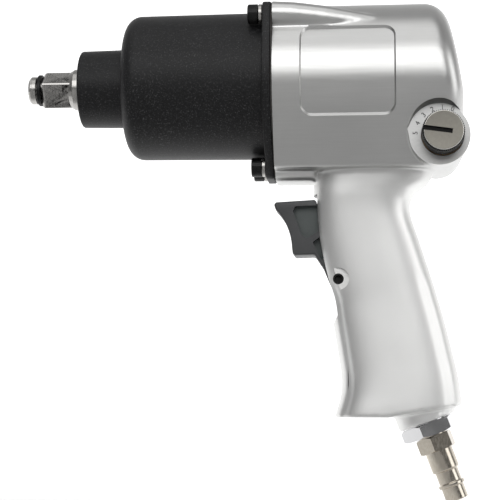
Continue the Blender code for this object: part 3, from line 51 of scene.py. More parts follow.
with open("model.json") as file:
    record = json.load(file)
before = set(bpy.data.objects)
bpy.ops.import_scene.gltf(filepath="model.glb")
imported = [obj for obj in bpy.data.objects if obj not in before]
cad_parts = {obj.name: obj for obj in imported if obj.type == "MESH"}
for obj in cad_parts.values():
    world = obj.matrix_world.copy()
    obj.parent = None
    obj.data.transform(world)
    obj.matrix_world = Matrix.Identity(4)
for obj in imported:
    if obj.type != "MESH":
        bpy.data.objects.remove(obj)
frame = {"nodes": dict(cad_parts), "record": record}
cad_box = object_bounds()
nodes = frame["nodes"]

AXIS_X = Vector((1, 0, 0))
AXIS_Y = Vector((0, 1, 0))
AXIS_Z = Vector((0, 0, 1))
SIDES = 128                 # sides of a large turned piece
FEW = 48                    # sides of a small one


def low(node):
    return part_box(node)[0] / MM


def high(node):
    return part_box(node)[1] / MM


def middle(node):
    return (low(node) + high(node)) / 2


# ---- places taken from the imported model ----
NOSE_X = low("hammer_case").x
FLANGE_END = high("hammer_case").x
HOUSING_X = low("motor_housing").x
BODY_RADIUS = high("motor_housing").z
GRIP_TOP = -BODY_RADIUS
BOLTS = [middle(f"case_bolt_{number}") for number in (1, 2, 3, 4)]
BOLT_START = low("case_bolt_1").x
BOLT_HEAD_RADIUS = (high("case_bolt_1").z - low("case_bolt_1").z) / 2
WASHER_START = low("lock_washer_1").x
WASHER_END = high("lock_washer_1").x
PIN = middle("trigger_pin")
KNOB = middle("regulator_knob")
KNOB_FRONT = low("regulator_knob").y
KNOB_BACK = high("regulator_knob").y
KNOB_RADIUS = (high("regulator_knob").z - low("regulator_knob").z) / 2
COVER_Y = high("valve_end_cap").y

# ---- sizes that repeat those of the model ----
DRIVE_FLATS = 12.7
DRIVE_CORNERS = 17.3
DRIVE_TURN = 36.0
TIP_RADIUS = 6.4
GROOVE_X, SQUARE_X, COLLAR_X, COLLAR_END = 3.4, 6.3, 21.4, 24.7
GROOVE_RADIUS = 4.2
COLLAR_RADIUS = 9.5
SHAFT_RADIUS = 9.2
NOSE_RADIUS = 18.0
NOSE_BORE = 12.8
NOSE_LENGTH = 21.7
BARREL_X = NOSE_X + NOSE_LENGTH
BARREL_FRONT_RADIUS = 33.1
BARREL_REAR_RADIUS = 33.65
CASE_BORE = 29.9
CASE_WALL = 5.3
CAVITY_X = BARREL_X + CASE_WALL
FLANGE_THICK = 3.6
FLANGE_X = FLANGE_END - FLANGE_THICK
FLANGE_RADIUS = 37.6
EAR_RADIUS = 5.5
BOLT_HOLE_RADIUS = 3.3
BOLT_THREAD_RADIUS = 3.0
BOLT_REACH = 17.0           # how far the bolts go past the flange
KEY_RADIUS = 2.75
KEY_DEPTH = 2.6
BODY_LENGTH = 82.4
REAR_ROUND = 9.0
REAR_SLOPE = 0.165
KNEE_Z = -8.0
SKIRT_Y = 17.5
SKIRT_ROUND = 3.0
SKIRT_DROP = 1.8
FOOT_LENGTH = 18.0
FOOT_RADIUS = 6.6
MOTOR_BORE = 29.5
BORE_DEPTH = 58.2
GRIP_SECTIONS = (
    (-8.0, 16.8, 73.0, 17.0),
    (3.8, 16.8, 71.5, 17.0),
    (11.3, 16.8, 67.4, 16.6),
    (12.8, 16.8, 64.2, 16.4),
    (15.8, 16.8, 61.6, 16.2),
    (17.8, 16.8, 60.6, 16.0),
    (24.0, 16.9, 60.5, 15.6),
    (36.0, 17.6, 64.3, 15.2),
    (54.0, 21.2, 70.0, 15.0),
    (63.0, 23.9, 72.6, 15.0),
    (72.0, 25.2, 75.1, 15.2),
    (90.0, 28.0, 79.4, 15.8),
    (98.0, 29.0, 81.1, 16.2),
    (105.0, 28.7, 82.0, 16.6),
    (112.0, 26.8, 82.6, 17.0),
    (120.0, 24.2, 83.0, 17.2),
)
GRIP_SQUARENESS = 2.7
GROOVE_START = 50.0         # the grip's moulded grooves start this far below the body
RIB_WIDTH = 4.2
RIB_GROOVE = 0.75
BACK_BAND = 5.2
BACK_GROOVE = 0.5
GRIP_DROP = 115.3
GRIP_FLAT = 50.0
GRIP_HEEL_RISE = 5.4
GRIP_HEEL_END = 82.2
SLOT_DROP = 15.2
SLOT_DEPTH = 29.1
SLOT_LOW_DEPTH = 33.6
TRIGGER_HALF = 8.5
POCKET_DEPTH = 3.2
SLOT_GAP = 0.45
PIN_HOLE_RADIUS = 2.45
SPOT_FACE_Y = 11.9          # the flat around each end of the roll pin
INLET_X = 67.2
INLET_DROP = 117.2
INLET_TILT = 20.6
INLET_BOSS_RADIUS = 13.2
BOSS_RADIUS = 13.4
BOSS_DRAFT = 0.87
BOSS_SHIFT_X = -1.3
BOSS_CORNER = (-15.1, 1.8)
FACE_Y = 28.0
VALVE_BORE = 9.5
SCOOP_FLARE = 1.14
SCOOP_DEPTH = 9.0
POINTER_TILT = -8.0
POINTER_HALF = 1.05
POINTER_DEPTH = 1.3
PANEL = (12.8, 53.6, -18.8, 20.0)   # front, rear, low and high edges of the recessed panel
DIAL_LAST = 5               # the dial's numbers run from this down to 0
DIAL_START = 176.5
DIAL_STEP = 21.6
DIAL_RADIUS = 11.9
DIAL_SIZE = 3.1
PANEL_ROUND = 4.3
PANEL_DEPTH = 1.15
MUFFLER_FRONT, MUFFLER_REAR, MUFFLER_HALF = 32.0, 42.8, 10.0
INLET_FACE = Vector((HOUSING_X + INLET_X, 0, GRIP_TOP - INLET_DROP))
INLET_DOWN = Vector((math.sin(math.radians(INLET_TILT)), 0, -math.cos(math.radians(INLET_TILT))))
VALVE_AXIS = Vector((KNOB.x, 0, KNOB.z))


# ---- cast skin of the housing ----
SKIN_VOXEL = 0.7
SKIN_RELAX = 12

# ---- floor and backdrop ----
FLOOR_CLEAR = 0.1
FLOOR_FRONT = 3000
FLOOR_BACK = 500
FLOOR_HALF = 4000
SWEEP_RADIUS = 500
SWEEP_STEPS = 16
BACKDROP_HIGH = 3500

# ---- camera ----
CAMERA_YAW = 5.0
CAMERA_PITCH = 5.5
CAMERA_AIM = Vector((102.85, 0, -75.55))
CAMERA_DISTANCE = 695.8
CAMERA_LENS = 109.66
CAMERA_SENSOR = 36


# ---- mesh tools ----
def mesh_object(name, points, faces, sharp=32):
    """A new object from points in millimetres, smooth but for edges sharper than an angle."""
    mesh = bpy.data.meshes.new(name)
    shape = bmesh.new()
    corners = [shape.verts.new(Vector(point) * MM) for point in points]
    for face in faces:
        shape.faces.new([corners[index] for index in face])
    bmesh.ops.recalc_face_normals(shape, faces=shape.faces)
    shape.to_mesh(mesh)
    shape.free()
    thing = bpy.data.objects.new(name, mesh)
    bpy.context.collection.objects.link(thing)
    mesh.shade_smooth()
    mesh.set_sharp_from_angle(angle=math.radians(sharp))
    return thing


def axis_frame(axis):
    """Two directions across an axis."""
    helper = AXIS_Z if abs(axis.y) > 0.9 else AXIS_Y
    across = (helper - axis * helper.dot(axis)).normalized()
    return across, axis.cross(across)


def rounded(points, closed=False, steps=6):
    """A line through points, where one with a third value has its corner rounded to that radius."""
    result = []
    count = len(points)
    for index, point in enumerate(points):
        here = Vector(point[:2])
        radius = point[2] if len(point) > 2 else 0
        if radius == 0 or (not closed and index in (0, count - 1)):
            result.append(tuple(here))
            continue
        before = Vector(points[index - 1][:2]) - here
        after = Vector(points[(index + 1) % count][:2]) - here
        angle = before.angle(after)
        reach = min(radius / math.tan(angle / 2), 0.49 * before.length, 0.49 * after.length)
        radius = reach * math.tan(angle / 2)
        first = here + before.normalized() * reach
        last = here + after.normalized() * reach
        centre = here + (before.normalized() + after.normalized()).normalized() * (
            radius / math.sin(angle / 2))
        start, end = first - centre, last - centre
        for step in range(steps + 1):
            spoke = start.lerp(end, step / steps).normalized() * radius
            result.append(tuple(centre + spoke))
    return result


def turned(name, profile, origin=(0, 0, 0), axis=AXIS_X, sides=SIDES, start=0.0):
    """A turned piece from (distance along the axis, radius) points: solid if it starts and ends
    on the axis, and otherwise closed on itself."""
    across, other = axis_frame(axis)
    points, rings = [], []
    for along, radius in profile:
        if radius == 0:
            continue
        centre = Vector(origin) + axis * along
        rings.append(list(range(len(points), len(points) + sides)))
        for step in range(sides):
            angle = math.radians(start) + 2 * math.pi * step / sides
            points.append(centre + radius * (across * math.cos(angle) + other * math.sin(angle)))
    solid = profile[0][1] == 0
    faces = [tuple(rings[0]), tuple(rings[-1])] if solid else []
    pairs = list(zip(rings, rings[1:])) if solid else list(zip(rings, rings[1:] + rings[:1]))
    for first, second in pairs:
        for step in range(sides):
            following = (step + 1) % sides
            faces.append((first[step], second[step], second[following], first[following]))
    return mesh_object(name, points, faces)


def rod(name, begin, end, radius, origin=(0, 0, 0), axis=AXIS_X, sides=SIDES, start=0.0):
    """A plain round or many-sided tool between two distances along an axis."""
    return turned(name, [(begin, 0), (begin, radius), (end, radius), (end, 0)], origin, axis, sides,
                  start)


def loft(name, sections, sharp=32):
    """A closed piece through sections that have the same number of points."""
    count = len(sections[0])
    points = [point for section in sections for point in section]
    faces = [tuple(range(count)), tuple(range(len(points) - count, len(points)))]
    for level in range(len(sections) - 1):
        for step in range(count):
            following = (step + 1) % count
            near, far = level * count, (level + 1) * count
            faces.append((near + step, near + following, far + following, far + step))
    return mesh_object(name, points, faces, sharp)


def plate(name, outline, begin, end, axis):
    """An outline of (y, z) points pushed along X, or of (x, z) points pushed along Y."""
    if axis is AXIS_X:
        sections = [[(along, a, b) for a, b in outline] for along in (begin, end)]
    else:
        sections = [[(a, along, b) for a, b in outline] for along in (begin, end)]
    return loft(name, sections)


def circle(centre, radius, count=FEW):
    turns = [2 * math.pi * step / count for step in range(count)]
    return [(centre[0] + radius * math.cos(a), centre[1] + radius * math.sin(a)) for a in turns]


def arc(centre, radius, first, last, count):
    turns = [math.radians(first + (last - first) * step / (count - 1)) for step in range(count)]
    return [(centre[0] + radius * math.cos(a), centre[1] + radius * math.sin(a)) for a in turns]


def band_around(points):
    """The outline of a band stretched around points in a plane."""
    ordered = sorted(set(points))

    def half(sequence):
        chain = []
        for point in sequence:
            while len(chain) > 1:
                (ax, ay), (bx, by) = chain[-2], chain[-1]
                if (bx - ax) * (point[1] - ay) - (by - ay) * (point[0] - ax) > 1e-6:
                    break
                chain.pop()
            chain.append(point)
        return chain[:-1]

    return half(ordered) + half(ordered[::-1])


def spaced(outline, count):
    """The closed outline again, as that many evenly spaced points."""
    ring = [Vector(point) for point in outline]
    lengths = [(ring[(i + 1) % len(ring)] - ring[i]).length for i in range(len(ring))]
    total = sum(lengths)
    result, index, passed = [], 0, 0.0
    for step in range(count):
        target = total * step / count
        while passed + lengths[index] < target:
            passed += lengths[index]
            index += 1
        share = (target - passed) / lengths[index]
        result.append(tuple(ring[index].lerp(ring[(index + 1) % len(ring)], share)))
    return result


def settle(thing):
    """Applies a piece's modifiers to its mesh."""
    graph = bpy.context.evaluated_depsgraph_get()
    mesh = bpy.data.meshes.new_from_object(thing.evaluated_get(graph))
    mesh.name = thing.name
    thing.modifiers.clear()
    thing.data = mesh
    return thing


def combine(target, tools, operation):
    """Joins tools to a piece or cuts them away, applies it and removes the tools."""
    group = bpy.data.collections.new("tools")
    for tool in tools:
        group.objects.link(tool)
    modifier = target.modifiers.new("combine", "BOOLEAN")
    modifier.operation = operation
    modifier.operand_type = "COLLECTION"
    modifier.collection = group
    settle(target)
    for tool in tools:
        bpy.data.objects.remove(tool, do_unlink=True)
    bpy.data.collections.remove(group)
    return target


def cut(target, *tools):
    return combine(target, tools, "DIFFERENCE")


def join(target, *tools):
    return combine(target, tools, "UNION")


def bevel(thing, width, segments=3, angle=30):
    """Rounds the edges that are sharper than an angle."""
    modifier = thing.modifiers.new("bevel", "BEVEL")
    modifier.width = width * MM
    modifier.segments = segments
    modifier.limit_method = "ANGLE"
    modifier.angle_limit = math.radians(angle)
    return settle(thing)


def smooth_shading(thing, angle=32):
    thing.data.shade_smooth()
    thing.data.set_sharp_from_angle(angle=math.radians(angle))
    return thing


# ---- materials ----
class Nodes:
    """Shorthand for building one material's node tree."""

    def __init__(self, name):
        self.material = bpy.data.materials.new(name)
        self.material.use_nodes = True
        self.tree = self.material.node_tree
        self.shader = self.tree.nodes["Principled BSDF"]
        self.place = self.tree.nodes.new("ShaderNodeTexCoord").outputs["Object"]

    def add(self, kind, **inputs):
        node = self.tree.nodes.new(kind)
        for label, value in inputs.items():
            socket = node.inputs[label.replace("_", " ")]
            if isinstance(value, bpy.types.NodeSocket):
                self.tree.links.new(value, socket)
            else:
                socket.default_value = value
        return node

    def stretched(self, scale):
        node = self.add("ShaderNodeMapping", Vector=self.place)
        node.inputs["Scale"].default_value = scale
        return node.outputs["Vector"]

    def noise(self, scale, detail=3.0, vector=None, roughness=0.5):
        node = self.add("ShaderNodeTexNoise", Vector=vector or self.place)
        node.inputs["Scale"].default_value = scale
        node.inputs["Detail"].default_value = detail
        node.inputs["Roughness"].default_value = roughness
        return node.outputs["Fac"]

    def cells(self, scale, vector=None):
        node = self.add("ShaderNodeTexVoronoi", Vector=vector or self.place)
        node.inputs["Scale"].default_value = scale
        return node.outputs["Distance"]

    def ramp(self, value, stops):
        node = self.add("ShaderNodeValToRGB", Fac=value)
        ramp = node.color_ramp
        while len(ramp.elements) < len(stops):
            ramp.elements.new(0.5)
        for element, (where, colour) in zip(ramp.elements, stops):
            element.position = where
            element.color = (*colour, 1.0)
        return node.outputs["Color"]

    def levels(self, value, first, last, start=0.0, end=1.0):
        node = self.add("ShaderNodeMapRange", Value=value)
        node.inputs["From Min"].default_value = start
        node.inputs["From Max"].default_value = end
        node.inputs["To Min"].default_value = first
        node.inputs["To Max"].default_value = last
        return node.outputs["Result"]

    def mix(self, share, first, last, blend="MIX"):
        node = self.tree.nodes.new("ShaderNodeMix")
        node.data_type = "RGBA"
        node.blend_type = blend
        for socket, value in ((node.inputs[0], share), (node.inputs[6], first),
                              (node.inputs[7], last)):
            if isinstance(value, bpy.types.NodeSocket):
                self.tree.links.new(value, socket)
            elif socket.type == "RGBA":
                socket.default_value = (*value, 1.0)
            else:
                socket.default_value = value
        return node.outputs[2]

    def add_up(self, first, last, operation="ADD"):
        node = self.tree.nodes.new("ShaderNodeMath")
        node.operation = operation
        for socket, value in zip(node.inputs, (first, last)):
            if isinstance(value, bpy.types.NodeSocket):
                self.tree.links.new(value, socket)
            else:
                socket.default_value = value
        return node.outputs[0]

    def set(self, **inputs):
        for label, value in inputs.items():
            socket = self.shader.inputs[label.replace("_", " ")]
            if isinstance(value, bpy.types.NodeSocket):
                self.tree.links.new(value, socket)
            elif socket.type == "RGBA":
                socket.default_value = (*value, 1.0)
            else:
                socket.default_value = value

    def bump(self, value, strength, distance):
        node = self.add("ShaderNodeBump", Height=value)
        node.inputs["Strength"].default_value = strength
        node.inputs["Distance"].default_value = distance * MM
        self.tree.links.new(node.outputs["Normal"], self.shader.inputs["Normal"])


def cast_aluminium():
    """Polished and brushed on the motor's end, satin on the grip."""
    make = Nodes("look_cast_aluminium")
    brush = make.noise(90, 4, make.stretched((0.6, 14, 14)))
    cloud = make.noise(38, 2)
    grain = make.noise(2600, 2)
    place = make.add("ShaderNodeSeparateXYZ", Vector=make.place).outputs["Z"]
    body = make.levels(place, 0.0, 1.0, -0.048, -0.040)
    colour = make.mix(cloud, (0.53, 0.53, 0.525), (0.6, 0.6, 0.59))
    colour = make.mix(make.levels(brush, 0.0, 0.16, 0.35, 0.75), colour, (0.44, 0.44, 0.43))
    colour = make.mix(body, make.mix(cloud, (0.76, 0.76, 0.75), (0.82, 0.82, 0.81)), colour)
    satin = make.levels(grain, 0.4, 0.5, 0.3, 0.7)
    polished = make.levels(brush, 0.31, 0.38, 0.3, 0.7)
    rough = make.tree.nodes.new("ShaderNodeMix")
    for index, value in ((0, body), (2, satin), (3, polished)):
        make.tree.links.new(value, rough.inputs[index])
    make.set(Base_Color=colour, Metallic=1.0, Roughness=rough.outputs[0])
    make.bump(make.add_up(make.levels(brush, 0, 0.35), make.levels(grain, 0, 0.5)), 0.08, 0.04)
    return make.material


def machined_aluminium():
    """A bright milled face with fine turning marks."""
    make = Nodes("look_machined_aluminium")
    mark = make.noise(400, 3, make.stretched((1, 1, 9)))
    colour = make.mix(mark, (0.46, 0.46, 0.455), (0.6, 0.6, 0.59))
    make.set(Base_Color=colour, Metallic=1.0, Roughness=make.levels(mark, 0.36, 0.5))
    make.bump(mark, 0.1, 0.04)
    return make.material


def black_coating():
    """Fine-textured matte black coating with paler specks where light catches the grain."""
    make = Nodes("look_black_case")
    grain = make.noise(1500, 3, roughness=0.7)
    speck = make.cells(900)
    cloud = make.noise(28, 3)
    colour = make.ramp(grain, [(0.36, (0.003, 0.003, 0.0035)), (0.56, (0.009, 0.009, 0.0095)),
                               (0.74, (0.09, 0.09, 0.093))])
    colour = make.mix(make.levels(cloud, 0, 0.4, 0.4, 0.8), colour, (0.014, 0.0145, 0.016))
    make.set(Base_Color=colour, Metallic=0.0, Roughness=make.levels(grain, 0.4, 0.6, 0.3, 0.7))
    make.shader.inputs["Specular IOR Level"].default_value = 0.27
    make.bump(make.add_up(grain, make.levels(speck, 0, 0.5)), 0.42, 0.12)
    return make.material


def metal(name, dark, light, rough_low, rough_high, scale=260, stretch=(1, 1, 1), bump=0.08):
    """A metal with fine marks along one direction."""
    make = Nodes(name)
    mark = make.noise(scale, 4, make.stretched(stretch))
    cloud = make.noise(45, 2)
    colour = make.mix(mark, dark, light)
    colour = make.mix(make.levels(cloud, 0, 0.35, 0.45, 0.75), colour, dark)
    make.set(Base_Color=colour, Metallic=1.0,
             Roughness=make.levels(mark, rough_low, rough_high, 0.3, 0.7))
    make.bump(mark, bump, 0.05)
    return make.material


def moulded(name, colour, paler, rough_low, rough_high, scale=900, bump=0.15):
    """Plastic, rubber, paper or felt with a fine grain."""
    make = Nodes(name)
    grain = make.noise(scale, 3)
    cloud = make.noise(60, 2)
    base = make.mix(make.levels(cloud, 0, 1, 0.3, 0.7), colour, paler)
    make.set(Base_Color=base, Metallic=0.0,
             Roughness=make.levels(grain, rough_low, rough_high, 0.3, 0.7))
    make.bump(grain, bump, 0.05)
    return make.material


LOOK = {
    "cast_aluminium": cast_aluminium(),
    "machined": machined_aluminium(),
    "black_case": black_coating(),
    "black_oxide": metal("look_black_oxide", (0.012, 0.012, 0.012), (0.05, 0.05, 0.05), 0.3, 0.46,
                         500),
    "drive_steel": metal("look_drive_steel", (0.3, 0.29, 0.28), (0.58, 0.57, 0.55), 0.2, 0.34,
                         300, (9, 1, 1)),
    "steel": metal("look_steel", (0.38, 0.38, 0.37), (0.52, 0.52, 0.51), 0.25, 0.4),
    "motor_iron": metal("look_motor_iron", (0.2, 0.2, 0.2), (0.34, 0.34, 0.34), 0.4, 0.55),
    "chrome": metal("look_chrome", (0.74, 0.74, 0.75), (0.84, 0.84, 0.85), 0.1, 0.18, 120,
                    bump=0.02),
    "nickel_plate": metal("look_nickel", (0.42, 0.37, 0.31), (0.7, 0.66, 0.58), 0.13, 0.26, 420,
                          (6, 6, 1), 0.05),
    "bronze": metal("look_bronze", (0.42, 0.26, 0.12), (0.6, 0.42, 0.22), 0.3, 0.42),
    "knob_metal": metal("look_knob_face", (0.18, 0.17, 0.15), (0.27, 0.26, 0.23), 0.34, 0.46,
                        700, bump=0.06),
    "knob_edge": metal("look_knob_edge", (0.6, 0.59, 0.56), (0.75, 0.74, 0.7), 0.2, 0.3),
    "knob_skirt": metal("look_knob_skirt", (0.006, 0.006, 0.006), (0.02, 0.02, 0.02), 0.3, 0.42,
                        600),
    "trigger_plastic": moulded("look_trigger", (0.045, 0.046, 0.048), (0.06, 0.061, 0.063), 0.36,
                               0.5),
    "pocket_plastic": moulded("look_trigger_pocket", (0.075, 0.088, 0.086), (0.095, 0.108, 0.105),
                              0.45, 0.6),
    # painted shade: the dial's numbers are coloured near black for the shading of raised cast digits
    "mark": moulded("look_dial_painted_shade", (0.05, 0.05, 0.05), (0.08, 0.08, 0.08), 0.5, 0.6),
    "rubber": moulded("look_rubber", (0.012, 0.012, 0.012), (0.02, 0.02, 0.02), 0.6, 0.75),
    "gasket_paper": moulded("look_gasket", (0.03, 0.028, 0.026), (0.05, 0.046, 0.042), 0.8, 0.9),
    "vane_fibre": moulded("look_vane", (0.22, 0.12, 0.06), (0.34, 0.2, 0.1), 0.6, 0.75),
    "felt": moulded("look_felt", (0.25, 0.24, 0.22), (0.38, 0.37, 0.34), 0.9, 1.0, 500, 0.6),
}
for entry in frame["record"]["subparts"]:
    thing = nodes[entry["node"]]
    thing.data.materials.clear()
    thing.data.materials.append(LOOK[entry["material_slot"]])


def dress(thing, body, slot, replaced=(), look=None):
    """Gives a piece its material, body and slot, and hides the nodes that it stands for."""
    thing.data.materials.clear()
    thing.data.materials.append(LOOK[look or slot])
    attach(thing, body)
    if replaced:
        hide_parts(*replaced)


def paint(thing, look, test):
    """A second material on the faces whose middle and normal pass a test, in millimetres."""
    thing.data.materials.append(LOOK[look])
    index = len(thing.data.materials) - 1
    for face in thing.data.polygons:
        if test(face.center / MM, face.normal):
            face.material_index = index


# ---- drive ----
def make_drive():
    """The square drive with its groove and collar, on the anvil."""
    corner = DRIVE_CORNERS / 2
    profile = rounded([
        (0, 0), (0, TIP_RADIUS - 1.4), (0.25, TIP_RADIUS - 0.7, 0.6), (1.5, TIP_RADIUS, 1.0),
        (GROOVE_X, TIP_RADIUS, 0.25), (GROOVE_X, GROOVE_RADIUS), (COLLAR_X - 2, GROOVE_RADIUS),
        (COLLAR_X - 2, corner - 0.5), (COLLAR_X, COLLAR_RADIUS, 0.5),
        (COLLAR_END, COLLAR_RADIUS, 0.5), (COLLAR_END, SHAFT_RADIUS), (CAVITY_X - 1, SHAFT_RADIUS),
        (CAVITY_X - 1, 0)])
    drive = turned("drive_square", profile)
    reach = math.degrees(math.acos(DRIVE_FLATS / DRIVE_CORNERS))
    outline = []
    for side in range(4):
        outline += arc((0, 0), corner, 90 * side + reach + DRIVE_TURN,
                       90 * (side + 1) - reach + DRIVE_TURN, 9)
    sections = []
    for x, size in ((SQUARE_X, 0.88), (SQUARE_X + 0.35, 0.94), (SQUARE_X + 0.9, 0.985),
                    (SQUARE_X + 1.6, 1.0), (COLLAR_X - 0.6, 1.0)):
        sections.append([(x, y * size, z * size) for y, z in outline])
    join(drive, loft("drive_flats", sections))
    smooth_shading(drive, 25)
    dress(drive, "anvil", "drive_steel")


def make_ring():
    """The split ring in the drive's groove."""
    centre = middle("socket_ring").x
    outer = (high("socket_ring").z - low("socket_ring").z) / 2
    profile = rounded([(centre - 0.85, outer - 1.15), (centre - 0.85, outer, 0.35),
                       (centre + 0.85, outer, 0.35), (centre + 0.85, outer - 1.15)])
    ring = turned("socket_ring_shell", profile, sides=FEW)
    gap = [(-0.6, -outer - 1), (0.6, -outer - 1), (0.6, -GROOVE_RADIUS), (-0.6, -GROOVE_RADIUS)]
    cut(ring, plate("ring_gap", gap, centre - 3, centre + 3, AXIS_X))
    smooth_shading(ring)
    dress(ring, "anvil", "black_oxide", ("socket_ring",))


# ---- hammer case ----
def flange_outline(radius, ear, centres):
    """A round flange with an ear around each bolt."""
    points = circle((0, 0), radius, SIDES)
    for centre in centres:
        points += circle((centre.y, centre.z), ear)
    return band_around(points)


def make_case():
    """Nose, barrel and flange, with cast roundings and a fine black coating."""
    profile = rounded([
        (NOSE_X, NOSE_BORE, 0.3), (NOSE_X, NOSE_RADIUS - 0.3, 1.0),
        (BARREL_X, NOSE_RADIUS + 0.1, 1.4), (BARREL_X, BARREL_FRONT_RADIUS, 7.2),
        (FLANGE_X, BARREL_REAR_RADIUS, 1.2), (FLANGE_X, FLANGE_RADIUS - 3),
        (FLANGE_X + 1.8, FLANGE_RADIUS - 3), (FLANGE_X + 1.8, CASE_BORE), (CAVITY_X, CASE_BORE),
        (CAVITY_X, NOSE_BORE)], closed=True, steps=10)
    case = turned("case_shell", profile, sides=160)
    flange = plate("flange", flange_outline(FLANGE_RADIUS, EAR_RADIUS, BOLTS), FLANGE_X,
                   FLANGE_END, AXIS_X)
    bevel(flange, 0.5, 2)
    cut(flange, rod("flange_hole", FLANGE_X - 5, FLANGE_END + 5, BARREL_REAR_RADIUS - 1.5))
    join(case, flange)
    liner = turned("flange_liner", [
        (FLANGE_X + 1, CASE_BORE), (FLANGE_X + 1, BARREL_REAR_RADIUS - 1),
        (FLANGE_END - 0.01, BARREL_REAR_RADIUS - 1), (FLANGE_END - 0.01, CASE_BORE)])
    join(case, liner)
    cut(case, *[rod("bolt_hole", FLANGE_X - 2, FLANGE_END + 2, BOLT_HOLE_RADIUS,
                    (0, bolt.y, bolt.z), sides=24) for bolt in BOLTS])
    smooth_shading(case, 28)
    dress(case, "housing", "black_case", ("hammer_case",))


def make_bolts():
    """Socket-head bolts with knurled heads, on split spring washers."""
    head_end = WASHER_START - 0.3
    for number, bolt in enumerate(BOLTS, 1):
        origin = (0, bolt.y, bolt.z)
        profile = rounded([
            (BOLT_START, 0), (BOLT_START, BOLT_HEAD_RADIUS - 0.1, 0.6),
            (head_end, BOLT_HEAD_RADIUS - 0.1, 0.2), (head_end, BOLT_THREAD_RADIUS),
            (FLANGE_END + BOLT_REACH, BOLT_THREAD_RADIUS), (FLANGE_END + BOLT_REACH, 0)])
        thing = turned(f"bolt_{number}", profile, origin, sides=72)
        grooves = [rod("groove", BOLT_START + 0.9, head_end - 0.5, 0.16, (0, y, z), sides=6)
                   for y, z in circle((bolt.y, bolt.z), BOLT_HEAD_RADIUS, 36)]
        key = rod("key", BOLT_START - 1, BOLT_START + KEY_DEPTH, KEY_RADIUS, origin, sides=6,
                  start=17 * number)
        cut(thing, key, *grooves)
        smooth_shading(thing)
        dress(thing, "housing", "black_oxide", (f"case_bolt_{number}",))
        profile = rounded([
            (WASHER_START, BOLT_HOLE_RADIUS), (WASHER_START, BOLT_HEAD_RADIUS - 0.1, 0.2),
            (WASHER_END, BOLT_HEAD_RADIUS - 0.1, 0.2), (WASHER_END, BOLT_HOLE_RADIUS)])
        washer = turned(f"washer_{number}", profile, origin, sides=FEW)
        outline = [(bolt.y - 0.8, bolt.z - 8), (bolt.y - 0.1, bolt.z - 8),
                   (bolt.y + 0.8, bolt.z), (bolt.y + 0.1, bolt.z)]
        cut(washer, plate("washer_gap", outline, WASHER_START - 1, WASHER_END + 1, AXIS_X))
        smooth_shading(washer)
        dress(washer, "housing", "black_oxide", (f"lock_washer_{number}",), "drive_steel")


# ---- housing ----
def body_section(x, slope, inset):
    """A section of the body with its skirt below, leaning towards the rear as it goes down."""
    points = circle((0, 0), BODY_RADIUS, 180)
    for y in (-SKIRT_Y, SKIRT_Y):
        points += circle((y, -(BODY_RADIUS + SKIRT_DROP)), SKIRT_ROUND)
    size = 1 - inset / BODY_RADIUS
    outline = spaced(band_around(points), 180)
    return [(x - slope * max(z * size, KNEE_Z), y * size, z * size) for y, z in outline]


def make_body():
    """The round body, with its sloping and rounded rear end."""
    rear = HOUSING_X + BODY_LENGTH
    sections = [body_section(HOUSING_X - 2, 0, 0), body_section(HOUSING_X + 34, 0, 0),
                body_section(HOUSING_X + 52, REAR_SLOPE * 0.3, 0),
                body_section(rear - REAR_ROUND, REAR_SLOPE * 0.9, 0)]
    for step in range(1, 11):
        angle = math.pi / 2 * step / 10
        sections.append(body_section(rear - REAR_ROUND * (1 - math.sin(angle)), REAR_SLOPE,
                                     REAR_ROUND * (1 - math.cos(angle))))
    return loft("body", sections)


def spline(rows, drop):
    """The grip's sizes at a drop, on a smooth curve through its rows."""
    for index in range(len(rows) - 1):
        if drop <= rows[index + 1][0]:
            break
    before, first, last, after = (rows[max(index - 1, 0)], rows[index], rows[index + 1],
                                  rows[min(index + 2, len(rows) - 1)])
    share = (drop - first[0]) / (last[0] - first[0])
    sizes = []
    for column in (1, 2, 3):
        slope_in = (last[column] - before[column]) / (last[0] - before[0])
        slope_out = (after[column] - first[column]) / (after[0] - first[0])
        span = last[0] - first[0]
        a, b = first[column], last[column]
        t2, t3 = share ** 2, share ** 3
        sizes.append(a * (2 * t3 - 3 * t2 + 1) + slope_in * span * (t3 - 2 * t2 + share)
                     + b * (3 * t2 - 2 * t3) + slope_out * span * (t3 - t2))
    return sizes


def grip_section(drop):
    """A squarish oval, with grooves behind the front rib and before the back band."""
    front, rear, half = spline(GRIP_SECTIONS, drop)
    centre = HOUSING_X + (front + rear) / 2
    reach = (rear - front) / 2
    power = 2 / GRIP_SQUARENESS
    fade = min(max((drop - GROOVE_START) / 8, 0), 1)
    points = []
    for step in range(240):
        angle = 2 * math.pi * step / 240
        cosine, sine = math.cos(angle), math.sin(angle)
        along = reach * math.copysign(abs(cosine) ** power, cosine)
        groove = 0.0
        for distance, depth, spread in ((along + reach - RIB_WIDTH, RIB_GROOVE, 1.3),
                                        (reach - BACK_BAND - along, BACK_GROOVE, 1.6)):
            groove += depth * math.exp(-(distance / spread) ** 2)
        side = half * math.copysign(abs(sine) ** power, sine)
        side -= math.copysign(min(groove * fade, abs(side) * 0.5), side)
        points.append((centre + along, side, GRIP_TOP - drop))
    return points


def make_grip():
    """The grip, cut off at its base and sloping heel."""
    levels = 64
    top, bottom = GRIP_SECTIONS[0][0], GRIP_SECTIONS[-1][0]
    grip = loft("grip", [grip_section(top + (bottom - top) * level / levels)
                         for level in range(levels + 1)])
    base = GRIP_TOP - GRIP_DROP
    heel = HOUSING_X + GRIP_HEEL_END
    rise = GRIP_HEEL_RISE / (GRIP_HEEL_END - GRIP_FLAT)
    outline = [(HOUSING_X, base), (HOUSING_X + GRIP_FLAT, base),
               (heel + 20, base + GRIP_HEEL_RISE + 20 * rise), (heel + 20, base - 30),
               (HOUSING_X, base - 30)]
    return cut(grip, plate("base_trim", outline, -40, 40, AXIS_Y))


